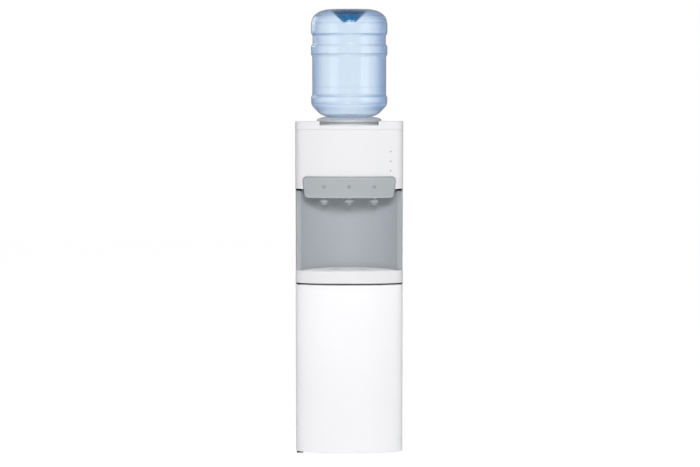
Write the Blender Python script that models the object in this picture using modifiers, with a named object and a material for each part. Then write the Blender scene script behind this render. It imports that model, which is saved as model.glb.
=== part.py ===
# Floor-standing hot and cold water dispenser with a bottle on top
# Metres, +Z up, front towards -Y, origin on the floor under the middle of the whole object

import bpy
import bmesh
from math import acos, asin, cos, pi, radians, sin, sqrt
from mathutils import Matrix, Vector

# Fits and walls
SEAT_GAP = 0.0003
OVERRUN = 0.004
SHELL = 0.0025
SHEET = 0.0012
MERGE = 0.00001

# Cabinet plan
CABINET_WIDTH = 0.310
CABINET_DEPTH = 0.300
FRONT_CURVE_DEPTH = 0.038
FRONT_CURVE_POWER = 2.25
FRONT_CURVE_STEPS = 16

# Cabinet levels, from the floor up
FOOT_HEIGHT = 0.010
FOOT_RADIUS = 0.014
FOOT_INSET = 0.045
BASE_FLOOR = 0.004
BASE_RIM = 0.020
BASE_WALL = 0.003
DOOR_HEIGHT = 0.4895
LEDGE_GAP = 0.005
LEDGE_HEIGHT = 0.0365
ALCOVE_HEIGHT = 0.2357
UPPER_HEIGHT = 0.1823
TOP_COVER_SKIRT = 0.012
TOP_COVER_CREST = 0.013
TOP_COVER_RIM = 0.004
TOP_COVER_PAN = 0.006
TOP_COVER_NOTCH_HALF = 0.0845

# Door, its pins and the cupboard behind it
DOOR_WALL = 0.003
DOOR_SIDE_GAP = 0.005
STRUCTURE_SETBACK = 0.003
HINGE_INSET_X = 0.010
HINGE_INSET_Y = 0.005
PIN_RADIUS = 0.002
PIN_REACH = 0.009
PIN_COLLAR_RADIUS = 0.0045
PIN_COLLAR_HEIGHT = 0.0012
HINGE_PLATE_WIDTH = 0.019
HINGE_PLATE_THICKNESS = 0.003
HINGE_PLATE_REACH = 0.040
HINGE_PLATE_FRONT = 0.003
HINGE_PLATE_OUT = 0.0075
LINER_SIDE_MARGIN = 0.015
LINER_SILL = 0.018
LINER_HEAD = 0.022
MACHINE_BAY = 0.135
MAGNET_WIDTH = 0.030
MAGNET_HEIGHT = 0.012
MAGNET_INSET = 0.050

# Ledge, drip tray and grille
LEDGE_RIM = 0.004
TRAY_GAP = 0.0025
TRAY_WALL = 0.0036
TRAY_SIDE_MARGIN = 0.0168
GRILLE_THICKNESS = 0.003
GRILLE_PROUD = 0.0015
GRILLE_STEP = 0.0026
GRILLE_ROWS = 5
GRILLE_COLUMNS = 3
GRILLE_SLOT_WIDTH = 0.005
GRILLE_RIB = 0.010
GRILLE_MARGIN = 0.012
GRILLE_REAR_MARGIN = 0.0265

# Alcove
ALCOVE_DEPTH = 0.095
ALCOVE_RIM = 0.0035
ALCOVE_WALL = 0.003
ALCOVE_STEPS = 24
SHADOW_GAP_HEIGHT = 0.0065
SHADOW_GAP_DEPTH = 0.007

# Head
HEAD_REACH = 0.012
HEAD_DROP = 0.0247
HEAD_HEIGHT = 0.0602
HEAD_SIDE_MARGIN = 0.022
HEAD_TAPER = 0.004
HEAD_CORNER = 0.012
HEAD_CLEARANCE = 0.0006
CORNER_STEPS = 5

# Buttons, their springs and the rack that carries them
TAP_SIDE_MARGIN = 0.0835
BUTTON_HEIGHT = 0.032
BUTTON_RADIUS = 0.0052
BUTTON_PROUD = 0.001
BUTTON_FLANGE_RADIUS = 0.0072
BUTTON_FLANGE = 0.002
BUTTON_STEM_RADIUS = 0.0022
BUTTON_STEM_BEYOND = 0.003
SPRING_RADIUS = 0.0042
SPRING_WIRE = 0.0004
SPRING_TURNS = 4
SPRING_POINTS = 8
RACK_SETBACK = 0.014
RACK_THICKNESS = 0.0025
RACK_SIDE_MARGIN = 0.055
RACK_DEPTH = 0.050
RACK_TOP_MARGIN = 0.004

# Taps
TAP_SETBACK = 0.045
TAP_BORE_RADIUS = 0.004
TAP_STEM_RADIUS = 0.007
TAP_DISC_RADIUS = 0.0122
TAP_STEM_SHOWN = 0.0078
TAP_DISC_HEIGHT = 0.0084
TAP_SPOUT_RADIUS = 0.009
TAP_SPOUT_HEIGHT = 0.0075
TAP_BODY_RADIUS = 0.010
TAP_BODY_HEIGHT = 0.013
TAP_NECK_RADIUS = 0.0055
TAP_NECK_HEIGHT = 0.004

# Bottle seat and feed probe, on the bottle's axis
BOTTLE_Y_SHIFT = -0.003
DECK_HOLE_RADIUS = 0.070
SEAT_BASE_RADIUS = 0.0855
SEAT_RIM_RADIUS = 0.0945
SEAT_RIM_HEIGHT = 0.013
SEAT_RIM_EDGE = 0.0065
SEAT_SHOULDER_RADIUS = 0.080
SEAT_SHOULDER_DROP = 0.0008
SEAT_LIP_RADIUS = 0.064
SEAT_FUNNEL_RADIUS = 0.036
SEAT_FUNNEL_DROP = 0.016
SEAT_CUP_RADIUS = 0.034
SEAT_CUP_DROP = 0.022
SEAT_WALL = 0.0025
SEAT_EDGE = 0.0015
SEAT_FLARE = 0.008
PROBE_RADIUS = 0.0085
PROBE_BORE = 0.006
PROBE_FLANGE_RADIUS = 0.014
PROBE_FLANGE = 0.002
PROBE_RISE = 0.040
PROBE_DROP = 0.012

# Bottle and cap
BOTTLE_RADIUS = 0.1115
BOTTLE_BODY_HEIGHT = 0.309
BOTTLE_FOOT_HEIGHT = 0.023
BOTTLE_FOOT_RADIUS = 0.075
BOTTLE_SHOULDER = 0.0175
BOTTLE_NECK_RADIUS = 0.0265
BOTTLE_NECK_HEIGHT = 0.036
BOTTLE_WALL = 0.0015
CAP_PLATE = 0.003
CAP_WALL = 0.0026
CAP_HEIGHT = 0.018
CAP_HOLE_RADIUS = 0.0105
CAP_FLOOR_CLEARANCE = 0.0025

# Each point: share of the bottle's radius, share of its height above the foot
BOTTLE_OUTLINE_SHARES = (
    (0.774, 0.016), (0.866, 0.050), (0.953, 0.083), (0.985, 0.102), (1.000, 0.126), (1.000, 0.180),
    (0.970, 0.191), (0.970, 0.560), (1.000, 0.573), (1.000, 0.657), (0.960, 0.670), (0.960, 0.756),
    (1.000, 0.770), (1.000, 0.856), (0.987, 0.892), (0.952, 0.927), (0.885, 0.953), (0.795, 0.976),
    (0.690, 0.990), (0.560, 1.000), (0.480, 0.996), (0.165, 0.884),
)
BOTTLE_HOLLOW_SHARE = 0.879
MITRE_LIMIT_SHARE = 0.5

# Cold side
JACKET_FLOOR = 0.014
JACKET_WALL = 0.012
JACKET_HEAD_GAP = 0.004
TANK_RADIUS = 0.080
TANK_WALL = 0.0015
TANK_TOP_GAP = 0.018
STUB_RADIUS = 0.005
STUB_BORE = 0.003
STUB_BEYOND = 0.004
STUB_PITCH = 0.040
STUB_SETBACK = 0.030
BAFFLE_RADIUS = 0.070
BAFFLE_HEIGHT = 0.050
BAFFLE_THICKNESS = 0.002
BAFFLE_STEM_RADIUS = 0.011
BAFFLE_BORE = 0.007
COIL_TUBE = 0.0025
COIL_CLEARANCE = 0.0014
COIL_TURNS = 4
COIL_PITCH = 0.018
COIL_POINTS = 24
COIL_END_TURN_SHARE = 0.0833
COIL_TAIL = 0.003

# Hot side, on the middle shelf
SHELF_THICKNESS = 0.0015
SHELF_NOTCH_WIDTH = 0.020
SHELF_NOTCH_DEPTH = 0.034
HOT_TANK_RADIUS = 0.050
HOT_TANK_HEIGHT = 0.130
HOT_TANK_DOME = 0.012
HOT_TANK_INSET = 0.093
HOT_TANK_SETBACK = 0.0885
HOT_TANK_LEG = 0.022
HOT_TANK_LEG_SIZE = 0.010
HOT_TANK_LEGS = 3
HOT_TANK_TURN_DEGREES = 30
HOT_TANK_WALL = 0.0015
HOT_PORT_SPREAD = 0.020
HOT_PORT_HEIGHT = 0.012
DRAIN_NECK = 0.009
DRAIN_ELBOW = 0.005
HEATER_THICKNESS = 0.003
HEATER_HEIGHT = 0.035
HEATER_RISE = 0.025
THERMOSTAT_RADIUS = 0.008
THERMOSTAT_HEIGHT = 0.007

# Cooling circuit
COMPRESSOR_RADIUS = 0.055
COMPRESSOR_HEIGHT = 0.145
COMPRESSOR_DOME = 0.030
DOME_STEPS = 4
COMPRESSOR_FOOT = (0.130, 0.090, 0.006)
COMPRESSOR_PORT_SPREAD = 0.022
COMPRESSOR_PORT_RISE = 0.010
CONDENSER_TUBE = 0.0025
CONDENSER_STANDOFF = 0.0224
CONDENSER_SIDE_MARGIN = 0.035
CONDENSER_PASSES = 8
CONDENSER_PITCH = 0.046
CONDENSER_BEND = 0.012
BEND_STEPS = 4
CONDENSER_ABOVE_SHELF = 0.055
CONDENSER_INSIDE = 0.012
STANDOFF_WIDTH = 0.012
STANDOFF_INSET = 0.050
PIPE_RADIUS = 0.004
LINE_RADIUS = 0.0025
HOLE_CLEARANCE = 0.0015
PIPE_STEPS = 4

# Electrical pieces and the back panel's cut-outs
LOUVRE_COUNT = 9
LOUVRE_SIDE_MARGIN = 0.065
LOUVRE_HEIGHT = 0.006
LOUVRE_PITCH = 0.020
LOUVRE_RISE = 0.180
SWITCH_INSET = 0.075
SWITCH_RISE = 0.034
SWITCH_FRAME_SIZE = (0.060, 0.030)
SWITCH_FRAME_DEPTH = 0.016
SWITCH_FRAME_LIP = 0.002
SWITCH_FRAME_WALL = 0.003
ROCKER_WIDTH = 0.020
ROCKER_RADIUS = 0.009
ROCKER_PITCH = 0.026
ROCKER_SETBACK = 0.002
ROCKER_CLEARANCE = 0.0004
ROCKER_PIN_RADIUS = 0.002
ROCKER_PIN_LENGTH = 0.002
ROCKER_TILT_DEGREES = 8
ROCKER_ARC_DEGREES = (50, 70, 90, 110, 130)
ROCKER_VALLEY_SHARE = 0.52
GLAND_INSET = 0.055
GLAND_RISE = 0.075
GLAND_RADIUS = 0.009
GLAND_BORE = 0.004
GLAND_LIP_RADIUS = 0.013
GLAND_LIP = 0.003
GLAND_TAIL = 0.010
DRAIN_BEYOND = 0.016
DRAIN_CAP_RADIUS = 0.008
DRAIN_CAP_START = 0.003
DRAIN_CAP_END = 0.002
BOARD_INSET = 0.070
BOARD_SIZE = (0.0016, 0.080, 0.090)
BOARD_BLOCKS_SHARES = ((0.25, 0.30, 0.40, 0.45), (0.72, 0.30, 0.25, 0.30), (0.50, 0.75, 0.70, 0.20))
BOARD_BLOCK_DEPTH = 0.018
GUIDE_INSET = 0.0363
GUIDE_RISE = 0.0798
GUIDE_PITCH = 0.0275
GUIDE_RADIUS = 0.0015
GUIDE_BAR = (0.006, 0.003, 0.068)
GUIDE_PROUD = 0.0004

TURN_STEPS = 24
FINE_STEPS = 16
SMOOTH_DEGREES = 35

# Colours, read off the photograph
WHITE = (0.88, 0.88, 0.89)
GREY = (0.37, 0.40, 0.42)
LIGHT_GREY = (0.45, 0.48, 0.50)
SEAT_GREY = (0.55, 0.56, 0.57)
BLUE = (0.45, 0.66, 0.90)
DEEP_BLUE = (0.02, 0.16, 0.42)
DARK = (0.03, 0.03, 0.035)
STEEL = (0.62, 0.63, 0.65)
COPPER = (0.70, 0.36, 0.22)
FOAM = (0.80, 0.76, 0.62)
SILICONE = (0.75, 0.76, 0.74)
GREEN = (0.04, 0.22, 0.10)
RED = (0.55, 0.03, 0.03)

# Derived plan
HALF_WIDTH = CABINET_WIDTH / 2
REAR_REACH = SEAT_GAP + CONDENSER_STANDOFF + SEAT_GAP + 2 * CONDENSER_TUBE
FRONT_Y = HEAD_REACH - (HEAD_REACH + CABINET_DEPTH + REAR_REACH) / 2
BACK_Y = FRONT_Y + CABINET_DEPTH
SIDE_Y = FRONT_Y + FRONT_CURVE_DEPTH
STRUCTURE_Y = SIDE_Y + STRUCTURE_SETBACK
INNER_HALF = HALF_WIDTH - SHEET - SEAT_GAP
INNER_BACK_Y = BACK_Y - SHEET - SEAT_GAP
ALCOVE_BACK_Y = FRONT_Y + ALCOVE_DEPTH
ALCOVE_REAR_Y = ALCOVE_BACK_Y + SHELL
BOTTLE_Y = (FRONT_Y + BACK_Y) / 2 + BOTTLE_Y_SHIFT
TAP_Y = FRONT_Y + TAP_SETBACK
TAP_X = HALF_WIDTH - TAP_SIDE_MARGIN
HEAD_TOP_HALF = HALF_WIDTH - HEAD_SIDE_MARGIN
HEAD_BOTTOM_HALF = HEAD_TOP_HALF - HEAD_TAPER
ALCOVE_HALF_WIDTH = INNER_HALF - ALCOVE_RIM
RACK_HALF_WIDTH = HALF_WIDTH - RACK_SIDE_MARGIN
LINER_HALF_WIDTH = HALF_WIDTH - LINER_SIDE_MARGIN
MAGNET_X = HALF_WIDTH - MAGNET_INSET
CONDENSER_HALF_WIDTH = HALF_WIDTH - CONDENSER_SIDE_MARGIN
LOUVRE_HALF_WIDTH = HALF_WIDTH - LOUVRE_SIDE_MARGIN
SWITCH_X = HALF_WIDTH - SWITCH_INSET
GLAND_X = HALF_WIDTH - GLAND_INSET
BOARD_X = HALF_WIDTH - BOARD_INSET
BOARD_Y = (ALCOVE_REAR_Y + INNER_BACK_Y) / 2
GUIDE_X = HALF_WIDTH - GUIDE_INSET
HOT_TANK_X = HOT_TANK_INSET - HALF_WIDTH
HOT_TANK_Y = INNER_BACK_Y - HOT_TANK_SETBACK

# Derived levels
BASE_BOTTOM = FOOT_HEIGHT + SEAT_GAP
BASE_TOP = BASE_BOTTOM + BASE_RIM
DOOR_BOTTOM = BASE_BOTTOM + PIN_COLLAR_HEIGHT
DOOR_TOP = DOOR_BOTTOM + DOOR_HEIGHT
LEDGE_BOTTOM = DOOR_TOP + LEDGE_GAP
LEDGE_TOP = LEDGE_BOTTOM + LEDGE_HEIGHT
UPPER_BOTTOM = LEDGE_TOP + ALCOVE_HEIGHT
DECK_Z = UPPER_BOTTOM + UPPER_HEIGHT
TOP_COVER_BOTTOM = DECK_Z - TOP_COVER_SKIRT
PAN_Z = DECK_Z - TOP_COVER_PAN
CREST_Z = DECK_Z + TOP_COVER_CREST
HEAD_BOTTOM = UPPER_BOTTOM - HEAD_DROP
HEAD_TOP = HEAD_BOTTOM + HEAD_HEIGHT
BUTTON_Z = HEAD_BOTTOM + BUTTON_HEIGHT
DOOR_REAR_Y = SIDE_Y - DOOR_SIDE_GAP
HINGE_X = HINGE_INSET_X - HALF_WIDTH
HINGE_Y = DOOR_REAR_Y - HINGE_INSET_Y
LINER_BOTTOM = BASE_TOP + LINER_SILL
LINER_TOP = LEDGE_BOTTOM - LINER_HEAD
LINER_BACK_Y = INNER_BACK_Y - MACHINE_BAY - SHELL
JACKET_BOTTOM = HEAD_TOP + JACKET_HEAD_GAP
TANK_BOTTOM = JACKET_BOTTOM + JACKET_FLOOR + SEAT_GAP
TANK_TOP = DECK_Z - SHELL - TANK_TOP_GAP
STUB_TIP = JACKET_BOTTOM - STUB_BEYOND
STUB_Y = BOTTLE_Y + STUB_SETBACK
COIL_RADIUS = TANK_RADIUS + COIL_CLEARANCE + COIL_TUBE
JACKET_INNER = COIL_RADIUS + COIL_TUBE + SEAT_GAP
JACKET_OUTER = JACKET_INNER + JACKET_WALL
BOTTLE_FOOT_Z = DECK_Z + BOTTLE_FOOT_HEIGHT
BOTTLE_NECK_TOP = BOTTLE_FOOT_Z - BOTTLE_SHOULDER
BOTTLE_MOUTH_Z = BOTTLE_NECK_TOP - BOTTLE_NECK_HEIGHT
CAP_BOTTOM = BOTTLE_MOUTH_Z - SEAT_GAP - CAP_PLATE
CUP_FLOOR_Z = CAP_BOTTOM - CAP_FLOOR_CLEARANCE - PROBE_FLANGE - SEAT_GAP
SHELF_TOP = LEDGE_TOP + SHELF_THICKNESS
SWITCH_Z = SHELF_TOP + SWITCH_RISE
GLAND_Z = BASE_BOTTOM + GLAND_RISE
GUIDE_Z = UPPER_BOTTOM + GUIDE_RISE
HOT_TANK_BOTTOM = SHELF_TOP + SEAT_GAP + HOT_TANK_LEG
HOT_TANK_TOP = HOT_TANK_BOTTOM + HOT_TANK_HEIGHT
DRAIN_Z = HOT_TANK_BOTTOM - DRAIN_NECK - SEAT_GAP - DRAIN_ELBOW
BASE_FLOOR_TOP = BASE_BOTTOM + BASE_FLOOR
COMPRESSOR_Y = (LINER_BACK_Y + SHELL + INNER_BACK_Y) / 2
COMPRESSOR_BOTTOM = BASE_FLOOR_TOP + SEAT_GAP
COMPRESSOR_TOP = COMPRESSOR_BOTTOM + COMPRESSOR_HEIGHT
CONDENSER_Y = BACK_Y + REAR_REACH - CONDENSER_TUBE
CONDENSER_LOW = SHELF_TOP + CONDENSER_ABOVE_SHELF
CONDENSER_HIGH = CONDENSER_LOW + (CONDENSER_PASSES - 1) * CONDENSER_PITCH
CONDENSER_IN_Y = BACK_Y - CONDENSER_INSIDE
TAP_STEM_TOP = HEAD_BOTTOM + SHELL + SEAT_GAP + RACK_THICKNESS
TAP_TOP = TAP_STEM_TOP + SEAT_GAP + TAP_BODY_HEIGHT + TAP_NECK_HEIGHT
RACK_FRONT_Y = FRONT_Y + RACK_SETBACK
RACK_BOTTOM = HEAD_BOTTOM + SHELL + SEAT_GAP
HEAD_BACK_Y = ALCOVE_BACK_Y - SEAT_GAP
POCKET_HALF = ALCOVE_HALF_WIDTH - TRAY_SIDE_MARGIN
TRAY_HALF = POCKET_HALF - TRAY_GAP
GRILLE_TOP = LEDGE_TOP + GRILLE_PROUD
GRILLE_BOTTOM = GRILLE_TOP - GRILLE_THICKNESS
TANK_SHELF_TOP = JACKET_BOTTOM - SEAT_GAP

for old in list(bpy.data.objects):
    bpy.data.objects.remove(old, do_unlink=True)

PARTS = bpy.data.collections.new("water_dispenser")
CUTTERS = bpy.data.collections.new("cutters")
for group in (PARTS, CUTTERS):
    bpy.context.scene.collection.children.link(group)


def finish(name, colour, roughness, metallic=0.0):
    """One plain surface for a sub-part"""
    material = bpy.data.materials.new(name)
    material.use_nodes = True
    shader = material.node_tree.nodes["Principled BSDF"]
    shader.inputs["Base Color"].default_value = (*colour, 1.0)
    shader.inputs["Roughness"].default_value = roughness
    shader.inputs["Metallic"].default_value = metallic
    return material


def place(name, data, look=None):
    """Put a mesh or curve in the scene: with a look it is a sub-part, without one a cutter"""
    item = bpy.data.objects.new(name, data)
    if look is None:
        CUTTERS.objects.link(item)
        item.hide_render = True
        item.display_type = 'WIRE'
        return item
    PARTS.objects.link(item)
    data.materials.append(finish(name, *look))
    return item


def block_mesh(name, low, high):
    """A box between two corners"""
    shape = bmesh.new()
    bmesh.ops.create_cube(shape, size=1.0)
    size = Vector(high) - Vector(low)
    bmesh.ops.scale(shape, vec=size, verts=shape.verts)
    bmesh.ops.translate(shape, vec=(Vector(low) + Vector(high)) / 2, verts=shape.verts)
    data = bpy.data.meshes.new(name)
    shape.to_mesh(data)
    shape.free()
    return data


def block(name, low, high, look=None):
    return place(name, block_mesh(name, low, high), look)


def rod(name, start, end, radius, look=None, steps=FINE_STEPS):
    """A straight round bar between two points"""
    shape = bmesh.new()
    span = Vector(end) - Vector(start)
    bmesh.ops.create_cone(shape, cap_ends=True, segments=steps, radius1=radius, radius2=radius,
                          depth=span.length)
    turn = span.to_track_quat('Z', 'Y').to_matrix().to_4x4()
    shape.transform(Matrix.Translation((Vector(start) + Vector(end)) / 2) @ turn)
    data = bpy.data.meshes.new(name)
    shape.to_mesh(data)
    shape.free()
    item = place(name, data, look)
    soften(item)
    return item


def upright(name, x, y, low, high, radius, look=None, steps=FINE_STEPS):
    """A rod that stands between two levels"""
    return rod(name, (x, y, low), (x, y, high), radius, look, steps)


def soften(item):
    """Smooth shading with the sharp edges kept"""
    item.data.shade_smooth()
    item.data.set_sharp_from_angle(angle=radians(SMOOTH_DEGREES))


def curve_mesh(item):
    """The mesh of a curve object, caps welded, in place of the curve"""
    bpy.context.view_layer.update()
    graph = bpy.context.evaluated_depsgraph_get()
    data = bpy.data.meshes.new_from_object(item.evaluated_get(graph))
    shape = bmesh.new()
    shape.from_mesh(data)
    bmesh.ops.remove_doubles(shape, verts=shape.verts, dist=MERGE)
    bmesh.ops.recalc_face_normals(shape, faces=shape.faces)
    shape.to_mesh(data)
    shape.free()
    bpy.data.objects.remove(item, do_unlink=True)
    return data


# Which way a flat outline lies, and the direction of its thickness
PLAN = (Matrix.Identity(4), Vector((0, 0, 1)))
FRONT = (Matrix.Rotation(pi / 2, 4, 'X'), Vector((0, 1, 0)))
SIDE = (Matrix(((0, 0, 1, 0), (1, 0, 0, 0), (0, 1, 0, 0), (0, 0, 0, 1))), Vector((1, 0, 0)))
REARWARD = (-pi / 2, 0, 0)


def plate(name, outlines, low, high, look=None, lie=PLAN):
    """Flat outlines, the first the edge and the others holes, between two levels of the thickness"""
    curve = bpy.data.curves.new(name, 'CURVE')
    curve.dimensions = '2D'
    curve.fill_mode = 'BOTH'
    curve.extrude = (high - low) / 2
    for outline in outlines:
        spline = curve.splines.new('POLY')
        spline.points.add(len(outline) - 1)
        for point, (across, along) in zip(spline.points, outline):
            point.co = (across, along, 0, 1)
        spline.use_cyclic_u = True
    guide = bpy.data.objects.new(name, curve)
    PARTS.objects.link(guide)
    data = curve_mesh(guide)
    bpy.data.curves.remove(curve)
    turn, through = lie
    data.transform(Matrix.Translation(through * (low + high) / 2) @ turn)
    data.name = name
    return place(name, data, look)


def turned(name, outline, centre, look=None, steps=TURN_STEPS, turn=None):
    """A profile of radius and height turned about the centre's upright axis, or about a turned one"""
    loop = outline + outline[:1]
    area = sum(a[0] * b[1] - b[0] * a[1] for a, b in zip(loop, loop[1:]))
    if area > 0:
        outline = outline[::-1]
    data = bpy.data.meshes.new(name)
    closed = min(point[0] for point in outline) > 0
    count = len(outline)
    edges = [(i, (i + 1) % count) for i in range(count if closed else count - 1)]
    data.from_pydata([(radius, 0, height) for radius, height in outline], edges, [])
    item = place(name, data, look)
    item.location = centre
    if turn:
        item.rotation_euler = turn
    screw = item.modifiers.new("turn", 'SCREW')
    screw.axis = 'Z'
    screw.steps = steps
    screw.render_steps = steps
    screw.use_merge_vertices = True
    screw.merge_threshold = MERGE
    screw.use_smooth_shade = True
    return item


def tube(name, points, radius, look, resolution=1):
    """A round tube along points"""
    curve = bpy.data.curves.new(name, 'CURVE')
    curve.dimensions = '3D'
    curve.bevel_depth = radius
    curve.bevel_resolution = resolution
    curve.use_fill_caps = True
    spline = curve.splines.new('POLY')
    spline.points.add(len(points) - 1)
    for point, spot in zip(spline.points, points):
        point.co = (*spot, 1)
    return place(name, curve, look)


def smooth_route(points, steps=PIPE_STEPS):
    """A smooth curve through the points, straight as it leaves the first and reaches the last"""
    spots = [Vector(point) for point in points]
    run = [spots[0]]
    for i in range(1, len(spots) - 2):
        before, start, end, after = spots[i - 1:i + 3]
        leave, arrive = (end - before) / 2, (after - start) / 2
        for step in range(steps):
            t = step / steps
            run.append((2 * t**3 - 3 * t**2 + 1) * start + (t**3 - 2 * t**2 + t) * leave
                       + (3 * t**2 - 2 * t**3) * end + (t**3 - t**2) * arrive)
    return run + spots[-2:]


def combine(item, operation, *tools):
    """Cut the tools from a sub-part, join them to it, or keep what they share"""
    for tool in tools:
        change = item.modifiers.new(tool.name, 'BOOLEAN')
        change.operation = operation
        change.solver = 'EXACT'
        change.object = tool
    return item


def set_origin(item, spot):
    """Move an object's origin and leave its shape where it is"""
    item.data.transform(Matrix.Translation(-Vector(spot)))
    item.location = spot


def front_line(inset, rear_y=None, reach=0.0, steps=FRONT_CURVE_STEPS):
    """The curved front in plan, left to right, a superellipse, up to where it meets rear_y"""
    half = HALF_WIDTH - inset
    depth = FRONT_CURVE_DEPTH - inset
    rear = SIDE_Y if rear_y is None else rear_y + reach
    limit = acos(max(0.0, min(1.0, (SIDE_Y - rear) / depth)) ** (FRONT_CURVE_POWER / 2))
    line = []
    for i in range(steps + 1):
        angle = limit * (2 * i / steps - 1)
        across = half * abs(sin(angle)) ** (2 / FRONT_CURVE_POWER) * (1 if angle > 0 else -1)
        line.append((across, SIDE_Y - reach - depth * abs(cos(angle)) ** (2 / FRONT_CURVE_POWER)))
    return line


def front_at(across, inset=0.0, reach=0.0):
    """Where the curved front lies at a place across the cabinet"""
    half = HALF_WIDTH - inset
    share = min(1.0, abs(across) / half)
    fall = (1 - share**FRONT_CURVE_POWER) ** (1 / FRONT_CURVE_POWER)
    return SIDE_Y - reach - (FRONT_CURVE_DEPTH - inset) * fall


def front_span(half, inset, reach=0.0, steps=FRONT_CURVE_STEPS):
    """The curved front between two sides, left to right"""
    across = [half * (2 * i / steps - 1) for i in range(steps + 1)]
    return [(x, front_at(x, inset, reach)) for x in across]


def alcove_radius():
    """Radius of the alcove's wall in plan, an arc from one front edge to the other"""
    depth = ALCOVE_BACK_Y - front_at(ALCOVE_HALF_WIDTH, HALF_WIDTH - INNER_HALF)
    return (ALCOVE_HALF_WIDTH**2 + depth**2) / (2 * depth)


def alcove_line(half, inset=0.0, steps=ALCOVE_STEPS):
    """The alcove's wall in plan, right to left, out to a half width and nearer the mouth by an inset"""
    middle_y = ALCOVE_BACK_Y - alcove_radius()
    radius = alcove_radius() - inset
    sweep = asin(half / radius)
    angles = [sweep * (1 - 2 * i / steps) for i in range(steps + 1)]
    return [(radius * sin(angle), middle_y + radius * cos(angle)) for angle in angles]


def rectangle(low, high):
    return [low, (high[0], low[1]), high, (low[0], high[1])]


def circle(centre, radius, steps=FINE_STEPS):
    return [(centre[0] + radius * cos(2 * pi * i / steps), centre[1] + radius * sin(2 * pi * i / steps))
            for i in range(steps)]


# Looks: colour, roughness, metallic
WHITE_SHELL = (WHITE, 0.30)
GREY_SHELL = (GREY, 0.38)
HEAD_SHELL = (LIGHT_GREY, 0.35)
SEAT_SHELL = (SEAT_GREY, 0.30)
SHEET_STEEL = (STEEL, 0.45, 0.9)
BRIGHT_STEEL = (STEEL, 0.25, 1.0)
BLACK_PLASTIC = (DARK, 0.55)
RUBBER = (DARK, 0.80)
COPPER_TUBE = (COPPER, 0.35, 1.0)
SILICONE_TUBE = (SILICONE, 0.50)
CLEAR_PLASTIC = (SILICONE, 0.20)
BLOWN_BOTTLE = (BLUE, 0.15)
CAP_PLASTIC = (DEEP_BLUE, 0.40)
RIGID_FOAM = (FOAM, 0.90)
CIRCUIT_BOARD = (GREEN, 0.50)
RED_PLASTIC = (RED, 0.35)
GREEN_PLASTIC = (GREEN, 0.35)


def make_base():
    base = block("base", (-INNER_HALF, STRUCTURE_Y, BASE_BOTTOM), (INNER_HALF, INNER_BACK_Y, BASE_TOP),
                 WHITE_SHELL)
    inner = INNER_HALF - BASE_WALL
    pocket = block("base_pocket", (-inner, STRUCTURE_Y + BASE_WALL, BASE_FLOOR_TOP),
                   (inner, INNER_BACK_Y - BASE_WALL, BASE_TOP + OVERRUN))
    combine(base, 'DIFFERENCE', pocket)


def make_feet():
    for row, y in (("front", STRUCTURE_Y + FOOT_INSET), ("rear", INNER_BACK_Y - FOOT_INSET)):
        for side, sign in (("left", -1), ("right", 1)):
            x = sign * (HALF_WIDTH - FOOT_INSET)
            rod(f"foot_{row}_{side}", (x, y, 0), (x, y, FOOT_HEIGHT), FOOT_RADIUS, RUBBER)


def make_side_panels():
    for side, sign in (("left", -1), ("right", 1)):
        edges = sorted((sign * HALF_WIDTH, sign * (HALF_WIDTH - SHEET)))
        block(f"side_panel_{side}", (edges[0], SIDE_Y + SEAT_GAP, BASE_BOTTOM),
              (edges[1], BACK_Y, TOP_COVER_BOTTOM - SEAT_GAP), WHITE_SHELL)


def make_back_panel():
    """Sheet with louvres and cut-outs, and the stand-offs that carry the condenser"""
    edge = rectangle((-INNER_HALF, BASE_BOTTOM), (INNER_HALF, TOP_COVER_BOTTOM - SEAT_GAP))
    holes = []
    for i in range(LOUVRE_COUNT):
        z = BASE_TOP + LOUVRE_RISE + i * LOUVRE_PITCH
        holes.append(rectangle((-LOUVRE_HALF_WIDTH, z), (LOUVRE_HALF_WIDTH, z + LOUVRE_HEIGHT)))
    half_window, half_tall = (size / 2 - SWITCH_FRAME_WALL + SEAT_GAP for size in SWITCH_FRAME_SIZE)
    holes.append(rectangle((SWITCH_X - half_window, SWITCH_Z - half_tall),
                           (SWITCH_X + half_window, SWITCH_Z + half_tall)))
    holes.append(circle((GLAND_X, GLAND_Z), GLAND_RADIUS))
    holes.append(circle((HOT_TANK_X, DRAIN_Z), PIPE_RADIUS + SEAT_GAP))
    for level in (CONDENSER_LOW, CONDENSER_HIGH):
        holes.append(circle((CONDENSER_HALF_WIDTH + CONDENSER_BEND, level), CONDENSER_TUBE + HOLE_CLEARANCE))
    panel = plate("back_panel", [edge] + holes, BACK_Y - SHEET, BACK_Y, WHITE_SHELL, FRONT)
    half, end = STANDOFF_WIDTH / 2, CONDENSER_Y - CONDENSER_TUBE - SEAT_GAP
    for sign in (-1, 1):
        x = sign * (CONDENSER_HALF_WIDTH - STANDOFF_INSET)
        for level in (CONDENSER_LOW + CONDENSER_PITCH, CONDENSER_HIGH - CONDENSER_PITCH):
            combine(panel, 'UNION', block("standoff", (x - half, BACK_Y - SHEET / 2, level - half),
                                          (x + half, end, level + half)))


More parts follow.
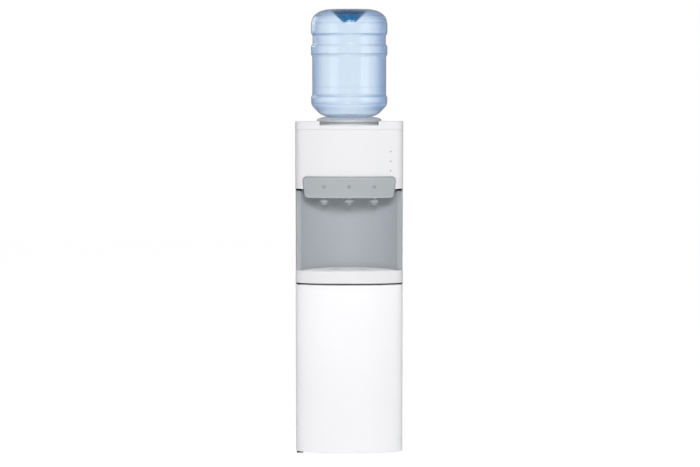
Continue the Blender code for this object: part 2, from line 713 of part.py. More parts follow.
def make_top_cover():
    """A shallow pan: its rim falls from a crest at the front to the back, with a notch before the seat"""
    def plan(inset):
        half, rear = HALF_WIDTH - inset, BACK_Y - inset
        return [front_line(inset) + [(half, rear), (-half, rear)]]

    cover = plate("top_cover", plan(0), TOP_COVER_BOTTOM, CREST_Z, WHITE_SHELL)
    under = plate("top_cover_hollow", plan(SHELL), TOP_COVER_BOTTOM - OVERRUN, PAN_Z - SHELL)
    pan = plate("top_cover_pan", plan(TOP_COVER_RIM), PAN_Z, CREST_Z + OVERRUN)
    slope = TOP_COVER_CREST / CABINET_DEPTH
    front, back, above = FRONT_Y - OVERRUN, BACK_Y + OVERRUN, CREST_Z + OVERRUN
    side = [(front, CREST_Z + slope * OVERRUN), (back, DECK_Z - slope * OVERRUN), (back, above), (front, above)]
    fall = plate("top_cover_fall", [side], -CABINET_WIDTH, CABINET_WIDTH, lie=SIDE)
    notch = block("seat_notch", (-TOP_COVER_NOTCH_HALF, front, DECK_Z), (TOP_COVER_NOTCH_HALF, SIDE_Y, above))
    hole = rod("deck_hole", (0, BOTTLE_Y, PAN_Z - SHELL - OVERRUN), (0, BOTTLE_Y, PAN_Z + OVERRUN),
               DECK_HOLE_RADIUS, steps=TURN_STEPS)
    combine(cover, 'DIFFERENCE', under, pan, fall, notch, hole)


def head_outline(grow):
    """The head seen from the front: wider at its top, with round corners"""
    low, high = HEAD_BOTTOM - grow, HEAD_TOP + grow
    halves = {low: HEAD_BOTTOM_HALF + grow, high: HEAD_TOP_HALF + grow}
    radius = HEAD_CORNER + grow
    outline = []
    for level, side, start in ((low, 1, -pi / 2), (high, 1, 0), (high, -1, pi / 2), (low, -1, pi)):
        centre = Vector((side * (halves[level] - radius), level + (radius if level == low else -radius)))
        for step in range(CORNER_STEPS + 1):
            angle = start + step / CORNER_STEPS * pi / 2
            outline.append((centre.x + radius * cos(angle), centre.y + radius * sin(angle)))
    return outline


def make_upper_panel():
    """The white front over the alcove, with a window for the head and holes for the light guide"""
    strip = front_line(0) + front_line(SHELL)[::-1]
    panel = plate("upper_panel", [strip], UPPER_BOTTOM, TOP_COVER_BOTTOM - SEAT_GAP, WHITE_SHELL)
    window = plate("head_window", [head_outline(HEAD_CLEARANCE)], FRONT_Y - OVERRUN, SIDE_Y, lie=FRONT)
    combine(panel, 'DIFFERENCE', window)
    for spot in guide_spots():
        combine(panel, 'DIFFERENCE', rod("guide_hole", (spot[0], spot[1] - OVERRUN, spot[2]),
                                         (spot[0], SIDE_Y, spot[2]), GUIDE_RADIUS + SEAT_GAP))


def guide_spots():
    return [(GUIDE_X, front_at(GUIDE_X), GUIDE_Z + i * GUIDE_PITCH) for i in (-1, 0, 1)]


def make_light_guide():
    """One clear moulding: a bar behind the panel with three tips that show as dots"""
    width, depth, height = GUIDE_BAR
    front = front_at(GUIDE_X + width / 2, SHELL) + SEAT_GAP
    guide = block("light_guide", (GUIDE_X - width / 2, front, GUIDE_Z - height / 2),
                  (GUIDE_X + width / 2, front + depth, GUIDE_Z + height / 2), CLEAR_PLASTIC)
    for x, y, z in guide_spots():
        tip = rod("guide_tip", (x, y - GUIDE_PROUD, z), (x, front + depth / 2, z), GUIDE_RADIUS)
        combine(guide, 'UNION', tip)


def make_alcove():
    """A wall curved like a bowl, notched for the head, its edges set back as a shadow gap under the panel"""
    low, high = LEDGE_TOP + SEAT_GAP, UPPER_BOTTOM - SEAT_GAP
    plan = front_line(HALF_WIDTH - INNER_HALF) + [(INNER_HALF, ALCOVE_REAR_Y), (-INNER_HALF, ALCOVE_REAR_Y)]
    alcove = plate("alcove_moulding", [plan], low, high, GREY_SHELL)
    mouth = [(-ALCOVE_HALF_WIDTH, FRONT_Y), (ALCOVE_HALF_WIDTH, FRONT_Y)]
    opening = plate("alcove_opening", [alcove_line(ALCOVE_HALF_WIDTH) + mouth], low - OVERRUN,
                    high + OVERRUN)
    gap = block("shadow_gap", (-HALF_WIDTH, FRONT_Y - OVERRUN, high - SHADOW_GAP_HEIGHT),
                (HALF_WIDTH, SIDE_Y + SHADOW_GAP_DEPTH, high + OVERRUN))
    notch = plate("head_notch", [head_outline(HEAD_CLEARANCE)], FRONT_Y - OVERRUN, ALCOVE_REAR_Y + OVERRUN,
                  lie=FRONT)
    half, rear = ALCOVE_HALF_WIDTH - SHELL, ALCOVE_REAR_Y + OVERRUN
    hollow = plate("alcove_hollow", [alcove_line(half, -ALCOVE_WALL) + [(-half, rear), (half, rear)]],
                   low + SHELL, high - SHADOW_GAP_HEIGHT - SHELL)
    combine(alcove, 'DIFFERENCE', opening, gap, notch, hollow)


def make_ledge():
    plan = front_line(0) + [(INNER_HALF, SIDE_Y), (INNER_HALF, ALCOVE_REAR_Y), (-INNER_HALF, ALCOVE_REAR_Y),
                            (-INNER_HALF, SIDE_Y)]
    ledge = plate("ledge", [plan], LEDGE_BOTTOM, LEDGE_TOP, WHITE_SHELL)
    pocket = plate("tray_pocket", [front_span(POCKET_HALF, LEDGE_RIM) + alcove_line(POCKET_HALF)],
                   LEDGE_BOTTOM + SHELL, LEDGE_TOP + OVERRUN)
    combine(ledge, 'DIFFERENCE', pocket)


def tray_plan(inset):
    """The tray in plan, between the curved front and the curved wall, smaller all round by an inset"""
    half = TRAY_HALF - inset
    return front_span(half, LEDGE_RIM + TRAY_GAP + inset) + alcove_line(half, TRAY_GAP + inset)


def make_tray():
    low, high = LEDGE_BOTTOM + SHELL + SEAT_GAP, GRILLE_BOTTOM - SEAT_GAP
    tray = plate("drip_tray", [tray_plan(0)], low, high, HEAD_SHELL)
    hollow = plate("tray_hollow", [tray_plan(TRAY_WALL)], low + SHELL, high + OVERRUN)
    combine(tray, 'DIFFERENCE', hollow)
    side, wall = TRAY_HALF - GRILLE_MARGIN, alcove_radius() - TRAY_GAP - GRILLE_MARGIN
    first = front_at(side, LEDGE_RIM + TRAY_GAP) + GRILLE_MARGIN
    last = ALCOVE_BACK_Y - GRILLE_REAR_MARGIN
    slots = []
    for row in range(GRILLE_ROWS):
        y = first + row * (last - first) / (GRILLE_ROWS - 1)
        rear = y + GRILLE_SLOT_WIDTH / 2 - ALCOVE_BACK_Y + alcove_radius()
        reach = min(side, sqrt(wall**2 - rear**2))
        length = (2 * reach - (GRILLE_COLUMNS - 1) * GRILLE_RIB) / GRILLE_COLUMNS
        for column in range(GRILLE_COLUMNS):
            x = column * (length + GRILLE_RIB) - reach
            slots.append(rectangle((x, y - GRILLE_SLOT_WIDTH / 2), (x + length, y + GRILLE_SLOT_WIDTH / 2)))
    plate("tray_grille", [tray_plan(GRILLE_STEP)] + slots, GRILLE_BOTTOM, GRILLE_TOP, HEAD_SHELL)


def make_door():
    """Hollow from behind, with holes at its left end for the two pins"""
    door = plate("cupboard_door", [front_line(0, DOOR_REAR_Y)], DOOR_BOTTOM, DOOR_TOP, WHITE_SHELL)
    inner = front_line(DOOR_WALL, DOOR_REAR_Y)
    mouth = [(inner[-1][0], DOOR_REAR_Y + OVERRUN), (inner[0][0], DOOR_REAR_Y + OVERRUN)]
    hollow = plate("door_hollow", [inner + mouth], DOOR_BOTTOM + DOOR_WALL, DOOR_TOP - DOOR_WALL)
    pin_hole = upright("pin_hole", HINGE_X, HINGE_Y, DOOR_BOTTOM - OVERRUN, DOOR_TOP + OVERRUN,
                       PIN_RADIUS + SEAT_GAP)
    set_origin(door, (HINGE_X, HINGE_Y, 0))
    combine(door, 'DIFFERENCE', hollow, pin_hole)


def make_hinges():
    """A pin under the ledge, and a plate under the base that carries the lower pin"""
    top = LEDGE_BOTTOM - SEAT_GAP
    pin = upright("hinge_pin_upper", HINGE_X, HINGE_Y, DOOR_TOP - PIN_REACH, top, PIN_RADIUS, BRIGHT_STEEL)
    collar = upright("pin_collar", HINGE_X, HINGE_Y, DOOR_TOP + SEAT_GAP, top, PIN_COLLAR_RADIUS)
    combine(pin, 'UNION', collar)
    high = BASE_BOTTOM - SEAT_GAP
    left = HINGE_X - HINGE_PLATE_OUT
    bracket = block("hinge_bracket_lower", (left, HINGE_Y - HINGE_PLATE_FRONT, high - HINGE_PLATE_THICKNESS),
                    (left + HINGE_PLATE_WIDTH, HINGE_Y + HINGE_PLATE_REACH, high), SHEET_STEEL)
    middle = high - HINGE_PLATE_THICKNESS / 2
    shaft = upright("lower_pin", HINGE_X, HINGE_Y, middle, DOOR_BOTTOM + PIN_REACH, PIN_RADIUS)
    seat = upright("lower_collar", HINGE_X, HINGE_Y, middle, high + PIN_COLLAR_HEIGHT, PIN_COLLAR_RADIUS)
    combine(bracket, 'UNION', seat, shaft)


def make_cupboard():
    liner = block("cupboard_liner", (-INNER_HALF, STRUCTURE_Y, BASE_TOP + SEAT_GAP),
                  (INNER_HALF, STRUCTURE_Y + SHELL, LEDGE_BOTTOM - SEAT_GAP), WHITE_SHELL)
    body = block("liner_body", (-LINER_HALF_WIDTH - SHELL, STRUCTURE_Y + SHELL / 2, LINER_BOTTOM - SHELL),
                 (LINER_HALF_WIDTH + SHELL, LINER_BACK_Y + SHELL, LINER_TOP + SHELL))
    hollow = block("liner_hollow", (-LINER_HALF_WIDTH, STRUCTURE_Y - OVERRUN, LINER_BOTTOM),
                   (LINER_HALF_WIDTH, LINER_BACK_Y, LINER_TOP))
    combine(liner, 'UNION', body)
    combine(liner, 'DIFFERENCE', hollow)
    middle = (LINER_TOP + LEDGE_BOTTOM) / 2
    block("magnet_catch", (MAGNET_X - MAGNET_WIDTH / 2, DOOR_REAR_Y + SEAT_GAP, middle - MAGNET_HEIGHT / 2),
          (MAGNET_X + MAGNET_WIDTH / 2, STRUCTURE_Y - SEAT_GAP, middle + MAGNET_HEIGHT / 2), BLACK_PLASTIC)


def make_shelf(name, top, front_y, thickness):
    """A sheet between the side panels with two notches at its rear for the cooling lines"""
    low, half = top - thickness, SHELF_NOTCH_WIDTH / 2
    shelf = block(name, (-INNER_HALF, front_y, low), (INNER_HALF, INNER_BACK_Y, top), SHEET_STEEL)
    for x in (suction_x(), discharge_x()):
        notch = block("notch", (x - half, INNER_BACK_Y - SHELF_NOTCH_DEPTH, low - OVERRUN),
                      (x + half, INNER_BACK_Y + OVERRUN, top + OVERRUN))
        combine(shelf, 'DIFFERENCE', notch)
    return shelf


def suction_x():
    return -COMPRESSOR_PORT_SPREAD


def discharge_x():
    return CONDENSER_HALF_WIDTH - SHELF_NOTCH_WIDTH / 2


def line_y():
    """Where the cooling lines run up behind the tanks"""
    return INNER_BACK_Y - SHELF_NOTCH_DEPTH / 2


def make_shelves():
    make_shelf("middle_shelf", SHELF_TOP, ALCOVE_REAR_Y + SEAT_GAP, SHELF_THICKNESS)
    tank_shelf = make_shelf("tank_shelf", TANK_SHELF_TOP, BOTTLE_Y - JACKET_OUTER, SHEET)
    for hole in port_holes(TANK_SHELF_TOP - SHEET - OVERRUN, TANK_SHELF_TOP + OVERRUN):
        combine(tank_shelf, 'DIFFERENCE', hole)


def stub_x():
    return [i * STUB_PITCH for i in (-1, 0, 1)]


def port_holes(low, high):
    """Holes for the cold tank's three stubs and for the coil's lower end"""
    holes = [rod("stub_hole", (x, STUB_Y, low), (x, STUB_Y, high), STUB_RADIUS + SEAT_GAP) for x in stub_x()]
    y = BOTTLE_Y + COIL_RADIUS
    return holes + [rod("coil_hole", (0, y, low), (0, y, high), COIL_TUBE + HOLE_CLEARANCE / 2)]


def button_spots():
    for name, x in (("hot", -TAP_X), ("ambient", 0), ("cold", TAP_X)):
        face = front_at(x, 0, HEAD_REACH) - BUTTON_PROUD
        flange = front_at(abs(x) + BUTTON_FLANGE_RADIUS, SHELL, HEAD_REACH) + SEAT_GAP
        yield name, x, face, flange


def make_head():
    """A shell open at its back, with holes for the buttons and the taps"""
    front = FRONT_Y - HEAD_REACH - OVERRUN
    head = plate("head_cover", [head_outline(0)], front, HEAD_BACK_Y, HEAD_SHELL, FRONT)
    half = HEAD_TOP_HALF + OVERRUN
    corners = [(half, HEAD_BACK_Y + 2 * OVERRUN), (-half, HEAD_BACK_Y + 2 * OVERRUN)]
    plan = plate("head_plan", [front_span(half, 0, HEAD_REACH) + corners],
                 HEAD_BOTTOM - OVERRUN, HEAD_TOP + OVERRUN)
    combine(head, 'INTERSECT', plan)
    hollow = plate("head_hollow", [head_outline(-SHELL)], front, HEAD_BACK_Y + OVERRUN, lie=FRONT)
    inner_plan = plate("head_inner_plan", [front_span(half, SHELL, HEAD_REACH) + corners],
                       HEAD_BOTTOM - OVERRUN, HEAD_TOP + OVERRUN)
    combine(hollow, 'INTERSECT', inner_plan)
    combine(head, 'DIFFERENCE', hollow)
    for name, x, face, flange in button_spots():
        button_hole = rod("button_hole", (x, face - OVERRUN, BUTTON_Z), (x, flange + OVERRUN, BUTTON_Z),
                          BUTTON_RADIUS + SEAT_GAP)
        tap_hole = rod("tap_hole", (x, TAP_Y, HEAD_BOTTOM - OVERRUN), (x, TAP_Y, RACK_BOTTOM + SEAT_GAP),
                       TAP_STEM_RADIUS + SEAT_GAP)
        combine(head, 'DIFFERENCE', button_hole, tap_hole)


def make_rack():
    """An angle that carries the taps and guides the button stems"""
    top = HEAD_TOP - SHELL - RACK_TOP_MARGIN
    rack = block("valve_rack", (-RACK_HALF_WIDTH, RACK_FRONT_Y, RACK_BOTTOM),
                 (RACK_HALF_WIDTH, RACK_FRONT_Y + RACK_THICKNESS, top), BLACK_PLASTIC)
    floor = block("rack_floor", (-RACK_HALF_WIDTH, RACK_FRONT_Y, RACK_BOTTOM),
                  (RACK_HALF_WIDTH, RACK_FRONT_Y + RACK_DEPTH, RACK_BOTTOM + RACK_THICKNESS))
    combine(rack, 'UNION', floor)
    for name, x, face, flange in button_spots():
        stem_end = RACK_FRONT_Y + RACK_THICKNESS + OVERRUN
        stem_hole = rod("stem_hole", (x, RACK_FRONT_Y - OVERRUN, BUTTON_Z), (x, stem_end, BUTTON_Z),
                        BUTTON_STEM_RADIUS + SEAT_GAP)
        tap_hole = upright("rack_tap_hole", x, TAP_Y, RACK_BOTTOM - OVERRUN,
                           RACK_BOTTOM + RACK_THICKNESS + OVERRUN, TAP_STEM_RADIUS + SEAT_GAP)
        combine(rack, 'DIFFERENCE', stem_hole, tap_hole)


def make_buttons():
    """Round caps with a flange behind the head's wall and a stem in the rack, each with its spring"""
    for name, x, face, flange in button_spots():
        back = flange + BUTTON_FLANGE
        front_depth, back_depth = flange - face, back - face
        tip_depth = RACK_FRONT_Y + RACK_THICKNESS + BUTTON_STEM_BEYOND - face
        outline = [(0, 0), (BUTTON_RADIUS, 0), (BUTTON_RADIUS, front_depth),
                   (BUTTON_FLANGE_RADIUS, front_depth), (BUTTON_FLANGE_RADIUS, back_depth),
                   (BUTTON_STEM_RADIUS, back_depth), (BUTTON_STEM_RADIUS, tip_depth), (0, tip_depth)]
        turned(f"button_{name}", outline, (x, face, BUTTON_Z), HEAD_SHELL, FINE_STEPS, REARWARD)
        start = back + SEAT_GAP + SPRING_WIRE
        length = RACK_FRONT_Y - SEAT_GAP - SPRING_WIRE - start
        count = SPRING_TURNS * SPRING_POINTS
        coil = []
        for i in range(count + 1):
            angle = 2 * pi * i / SPRING_POINTS
            coil.append((x + SPRING_RADIUS * cos(angle), start + length * i / count,
                         BUTTON_Z + SPRING_RADIUS * sin(angle)))
        tube(f"button_spring_{name}", coil, SPRING_WIRE, BRIGHT_STEEL)


def make_taps():
    disc_top = HEAD_BOTTOM - TAP_STEM_SHOWN
    disc_bottom = disc_top - TAP_DISC_HEIGHT
    body_bottom = TAP_STEM_TOP + SEAT_GAP
    body_top = body_bottom + TAP_BODY_HEIGHT
    spout = disc_bottom - TAP_SPOUT_HEIGHT
    outline = [(TAP_BORE_RADIUS, spout), (TAP_SPOUT_RADIUS, spout), (TAP_SPOUT_RADIUS, disc_bottom),
               (TAP_DISC_RADIUS, disc_bottom), (TAP_DISC_RADIUS, disc_top),
               (TAP_STEM_RADIUS, disc_top), (TAP_STEM_RADIUS, body_bottom), (TAP_BODY_RADIUS, body_bottom),
               (TAP_BODY_RADIUS, body_top), (TAP_NECK_RADIUS, body_top), (TAP_NECK_RADIUS, TAP_TOP),
               (TAP_BORE_RADIUS, TAP_TOP)]
    for name, x, face, flange in button_spots():
        turned(f"tap_{name}", outline, (x, TAP_Y, 0), HEAD_SHELL, FINE_STEPS)


def shoulder_height(radius):
    """How high the bottle's shoulder lies at a radius"""
    share = (radius - BOTTLE_NECK_RADIUS) / (BOTTLE_FOOT_RADIUS - BOTTLE_NECK_RADIUS)
    return BOTTLE_NECK_TOP + share * BOTTLE_SHOULDER


def make_bottle_seat():
    """A flared ring on the deck, a lip that carries the shoulder, and a cup for the neck"""
    hole = PROBE_RADIUS + SEAT_GAP
    lip = shoulder_height(SEAT_LIP_RADIUS) - SEAT_GAP
    rim = DECK_Z + SEAT_RIM_HEIGHT
    shoulder = lip - SEAT_SHOULDER_DROP
    foot = PAN_Z + SEAT_GAP
    cup_top, funnel_top = lip - SEAT_CUP_DROP, lip - SEAT_FUNNEL_DROP
    outline = [(hole, CUP_FLOOR_Z - SEAT_WALL), (SEAT_CUP_RADIUS + SEAT_WALL, CUP_FLOOR_Z - SEAT_WALL),
               (SEAT_CUP_RADIUS + SEAT_WALL, cup_top), (SEAT_FUNNEL_RADIUS + SEAT_WALL, funnel_top),
               (SEAT_LIP_RADIUS, lip - SEAT_WALL - SEAT_EDGE),
               (SEAT_SHOULDER_RADIUS - SEAT_WALL, shoulder - SEAT_WALL),
               (SEAT_BASE_RADIUS - SEAT_WALL, rim - SEAT_WALL), (SEAT_BASE_RADIUS - SEAT_WALL, foot),
               (SEAT_BASE_RADIUS, foot), (SEAT_BASE_RADIUS, rim - SEAT_FLARE),
               (SEAT_RIM_RADIUS, rim - SEAT_RIM_EDGE), (SEAT_RIM_RADIUS, rim),
               (SEAT_SHOULDER_RADIUS, shoulder), (SEAT_LIP_RADIUS, lip), (SEAT_FUNNEL_RADIUS, funnel_top),
               (SEAT_CUP_RADIUS, cup_top), (SEAT_CUP_RADIUS, CUP_FLOOR_Z), (hole, CUP_FLOOR_Z)]
    turned("bottle_seat", outline, (0, BOTTLE_Y, 0), SEAT_SHELL)
    tail, flange = CUP_FLOOR_Z - PROBE_DROP, CUP_FLOOR_Z + SEAT_GAP
    flange_top, tip = flange + PROBE_FLANGE, flange + PROBE_RISE
    outline = [(PROBE_BORE, tail), (PROBE_RADIUS, tail), (PROBE_RADIUS, flange),
               (PROBE_FLANGE_RADIUS, flange), (PROBE_FLANGE_RADIUS, flange_top), (PROBE_RADIUS, flange_top),
               (PROBE_RADIUS, tip), (PROBE_BORE, tip)]
    turned("feed_probe", outline, (0, BOTTLE_Y, 0), BLACK_PLASTIC, FINE_STEPS)


def offset_line(points, distance):
    """A second line at a set distance to the right of the first, as it is travelled"""
    shifted = []
    for before, point, after in zip(points, points[1:], points[2:]):
        into = (Vector(point) - Vector(before)).normalized()
        out = (Vector(after) - Vector(point)).normalized()
        normal = (Vector((into.y, -into.x)) + Vector((out.y, -out.x))).normalized()
        reach = distance / max(normal.dot(Vector((into.y, -into.x))), MITRE_LIMIT_SHARE)
        shifted.append(tuple(Vector(point) + normal * reach))
    return shifted


def make_bottle():
    """A blown bottle turned upside down: hollow base at the top, shoulder and open neck at the bottom"""
    hollow = BOTTLE_FOOT_Z + BOTTLE_HOLLOW_SHARE * BOTTLE_BODY_HEIGHT
    sides = [(radius * BOTTLE_RADIUS, BOTTLE_FOOT_Z + height * BOTTLE_BODY_HEIGHT)
             for radius, height in BOTTLE_OUTLINE_SHARES]
    outer = [(0, hollow)] + sides[::-1]
    outer += [(BOTTLE_FOOT_RADIUS, BOTTLE_FOOT_Z), (BOTTLE_NECK_RADIUS, BOTTLE_NECK_TOP),
              (BOTTLE_NECK_RADIUS, BOTTLE_MOUTH_Z)]
    inner = [(0, hollow - BOTTLE_WALL)] + offset_line(outer, BOTTLE_WALL)
    inner.append((BOTTLE_NECK_RADIUS - BOTTLE_WALL, BOTTLE_MOUTH_Z))
    turned("bottle", outer + inner[::-1], (0, BOTTLE_Y, 0), BLOWN_BOTTLE)
    bore = BOTTLE_NECK_RADIUS + SEAT_GAP
    low, plate_top, high = CAP_BOTTOM, CAP_BOTTOM + CAP_PLATE, CAP_BOTTOM + CAP_HEIGHT
    outline = [(CAP_HOLE_RADIUS, low), (bore + CAP_WALL, low), (bore + CAP_WALL, high), (bore, high),
               (bore, plate_top), (CAP_HOLE_RADIUS, plate_top)]
    turned("bottle_cap", outline, (0, BOTTLE_Y, 0), CAP_PLASTIC)


def make_cold_side():
    """The open cold tank with its stubs, in a foam jacket, with the coil between them"""
    floor = TANK_BOTTOM + TANK_WALL
    inner = TANK_RADIUS - TANK_WALL
    outline = [(0, TANK_BOTTOM), (TANK_RADIUS, TANK_BOTTOM), (TANK_RADIUS, TANK_TOP), (inner, TANK_TOP),
               (inner, floor), (0, floor)]
    tank = turned("cold_tank", outline, (0, BOTTLE_Y, 0), BRIGHT_STEEL)
    for x in stub_x():
        stub = rod("stub", (x, STUB_Y, STUB_TIP), (x, STUB_Y, TANK_BOTTOM + TANK_WALL / 2), STUB_RADIUS)
        combine(tank, 'UNION', stub)
    for x in stub_x():
        bore = rod("stub_bore", (x, STUB_Y, STUB_TIP - OVERRUN), (x, STUB_Y, floor + OVERRUN), STUB_BORE)
        combine(tank, 'DIFFERENCE', bore)
    base = floor + SEAT_GAP
    top = base + BAFFLE_HEIGHT
    outline = [(BAFFLE_BORE, base), (BAFFLE_STEM_RADIUS, base), (BAFFLE_STEM_RADIUS, top - BAFFLE_THICKNESS),
               (BAFFLE_RADIUS, top - BAFFLE_THICKNESS), (BAFFLE_RADIUS, top), (BAFFLE_BORE, top)]
    turned("tank_baffle", outline, (0, BOTTLE_Y, 0), WHITE_SHELL, FINE_STEPS)
    jacket_floor = JACKET_BOTTOM + JACKET_FLOOR
    outline = [(0, JACKET_BOTTOM), (JACKET_OUTER, JACKET_BOTTOM), (JACKET_OUTER, TANK_TOP),
               (JACKET_INNER, TANK_TOP), (JACKET_INNER, jacket_floor), (0, jacket_floor)]
    jacket = turned("foam_jacket", outline, (0, BOTTLE_Y, 0), RIGID_FOAM)
    combine(jacket, 'DIFFERENCE', *port_holes(JACKET_BOTTOM - OVERRUN, jacket_floor + OVERRUN))
    tube("evaporator_coil", coil_points(), COIL_TUBE, COPPER_TUBE)


def coil_points():
    """Up from the jacket's floor, round the tank, and up again over the jacket's rim"""
    start = JACKET_BOTTOM + JACKET_FLOOR + COIL_TUBE + COIL_TAIL
    count = round((COIL_TURNS + COIL_END_TURN_SHARE) * COIL_POINTS)
    points = [(0, BOTTLE_Y + COIL_RADIUS, STUB_TIP)]
    for i in range(count + 1):
        angle = pi / 2 + 2 * pi * i / COIL_POINTS
        points.append((COIL_RADIUS * cos(angle), BOTTLE_Y + COIL_RADIUS * sin(angle),
                       start + COIL_PITCH * i / COIL_POINTS))
    end = points[-1]
    return points + [(end[0], end[1], TANK_TOP + COIL_TAIL)]


def hot_ports():
    z = HOT_TANK_TOP + HOT_PORT_HEIGHT
    return [(HOT_TANK_X + sign * HOT_PORT_SPREAD, HOT_TANK_Y, z) for sign in (-1, 1)]


def make_hot_side():
    """The closed hot tank on its legs, with its band heater and thermostat"""
    x, y = HOT_TANK_X, HOT_TANK_Y
    radius, inner = HOT_TANK_RADIUS, HOT_TANK_RADIUS - HOT_TANK_WALL
    low, high = HOT_TANK_BOTTOM, HOT_TANK_TOP
    neck, bore = STUB_RADIUS, STUB_BORE
    dome = radius - HOT_TANK_DOME
    outline = [(0, high), (dome, high), (radius, high - HOT_TANK_DOME), (radius, low), (neck, low),
               (neck, low - DRAIN_NECK), (bore, low - DRAIN_NECK), (bore, low + HOT_TANK_WALL),
               (inner, low + HOT_TANK_WALL), (inner, high - HOT_TANK_DOME),
               (dome - HOT_TANK_WALL, high - HOT_TANK_WALL), (0, high - HOT_TANK_WALL)]
    tank = turned("hot_tank", outline, (x, y, 0), BRIGHT_STEEL)
    for port in hot_ports():
        foot = (port[0], port[1], high - HOT_TANK_WALL / 2)
        combine(tank, 'UNION', rod("hot_port", foot, port, STUB_RADIUS))
    reach = radius - HOT_TANK_LEG_SIZE
    half = HOT_TANK_LEG_SIZE / 2
    for i in range(HOT_TANK_LEGS):
        angle = radians(HOT_TANK_TURN_DEGREES) + i * 2 * pi / HOT_TANK_LEGS
        leg_x, leg_y = x + reach * cos(angle), y + reach * sin(angle)
        leg = block("leg", (leg_x - half, leg_y - half, SHELF_TOP + SEAT_GAP),
                    (leg_x + half, leg_y + half, low + HOT_TANK_WALL / 2))
        combine(tank, 'UNION', leg)
    start, end = low + HEATER_RISE, low + HEATER_RISE + HEATER_HEIGHT
    bore = radius + SEAT_GAP
    outline = [(bore, start), (bore + HEATER_THICKNESS, start), (bore + HEATER_THICKNESS, end), (bore, end)]
    turned("band_heater", outline, (x, y, 0), SHEET_STEEL)
    seat = high + SEAT_GAP
    upright("thermostat", x, y, seat, seat + THERMOSTAT_HEIGHT, THERMOSTAT_RADIUS, BLACK_PLASTIC)


def compressor_ports():
    z = COMPRESSOR_TOP + COMPRESSOR_PORT_RISE
    return [(sign * COMPRESSOR_PORT_SPREAD, COMPRESSOR_Y, z) for sign in (-1, 1)]


def make_compressor():
    """A welded dome on its foot plate, with its two ports on top"""
    width, depth, height = COMPRESSOR_FOOT
    shell = COMPRESSOR_RADIUS
    low, high = COMPRESSOR_BOTTOM, COMPRESSOR_TOP
    outline = [(0, low + height / 2), (shell, low + height / 2), (shell, high - COMPRESSOR_DOME)]
    for step in range(1, DOME_STEPS + 1):
        angle = step / DOME_STEPS * pi / 2
        outline.append((shell * cos(angle), high - COMPRESSOR_DOME + COMPRESSOR_DOME * sin(angle)))
    outline[-1] = (0, high)
    compressor = turned("compressor", outline, (0, COMPRESSOR_Y, 0), BLACK_PLASTIC)
    foot = block("compressor_foot", (-width / 2, COMPRESSOR_Y - depth / 2, low),
                 (width / 2, COMPRESSOR_Y + depth / 2, low + height))
    combine(compressor, 'UNION', foot)
    for port in compressor_ports():
        start = (port[0], port[1], high - COMPRESSOR_DOME)
        combine(compressor, 'UNION', rod("compressor_port", start, port, PIPE_RADIUS))


def bend(corner, start, end, radius, steps=BEND_STEPS):
    """A rounded corner between two straight runs"""
    corner = Vector(corner)
    first = corner + (Vector(start) - corner).normalized() * radius
    last = corner + (Vector(end) - corner).normalized() * radius
    arc = []
    for i in range(steps + 1):
        t = i / steps
        arc.append((1 - t)**2 * first + 2 * t * (1 - t) * corner + t**2 * last)
    return arc


def make_condenser():
    """A serpentine tube behind the back panel, whose two ends come in through it"""
    side = CONDENSER_HALF_WIDTH + CONDENSER_BEND
    low_end = Vector((side, CONDENSER_IN_Y, CONDENSER_LOW))
    low_corner, high_corner = (side, CONDENSER_Y, CONDENSER_LOW), (side, CONDENSER_Y, CONDENSER_HIGH)
    run = [low_end] + bend(low_corner, low_end, (0, CONDENSER_Y, CONDENSER_LOW), CONDENSER_BEND)
    for i in range(CONDENSER_PASSES - 1):
        sign = -1 if i % 2 == 0 else 1
        middle = CONDENSER_LOW + i * CONDENSER_PITCH + CONDENSER_PITCH / 2
        for step in range(BEND_STEPS + 1):
            angle = step / BEND_STEPS * pi - pi / 2
            run.append((sign * (CONDENSER_HALF_WIDTH + CONDENSER_PITCH / 2 * cos(angle)), CONDENSER_Y,
                        middle + CONDENSER_PITCH / 2 * sin(angle)))
    high_end = Vector((side, CONDENSER_IN_Y, CONDENSER_HIGH))
    run += bend(high_corner, (0, CONDENSER_Y, CONDENSER_HIGH), high_end, CONDENSER_BEND)
    tube("condenser", run + [high_end], CONDENSER_TUBE, BLACK_PLASTIC)


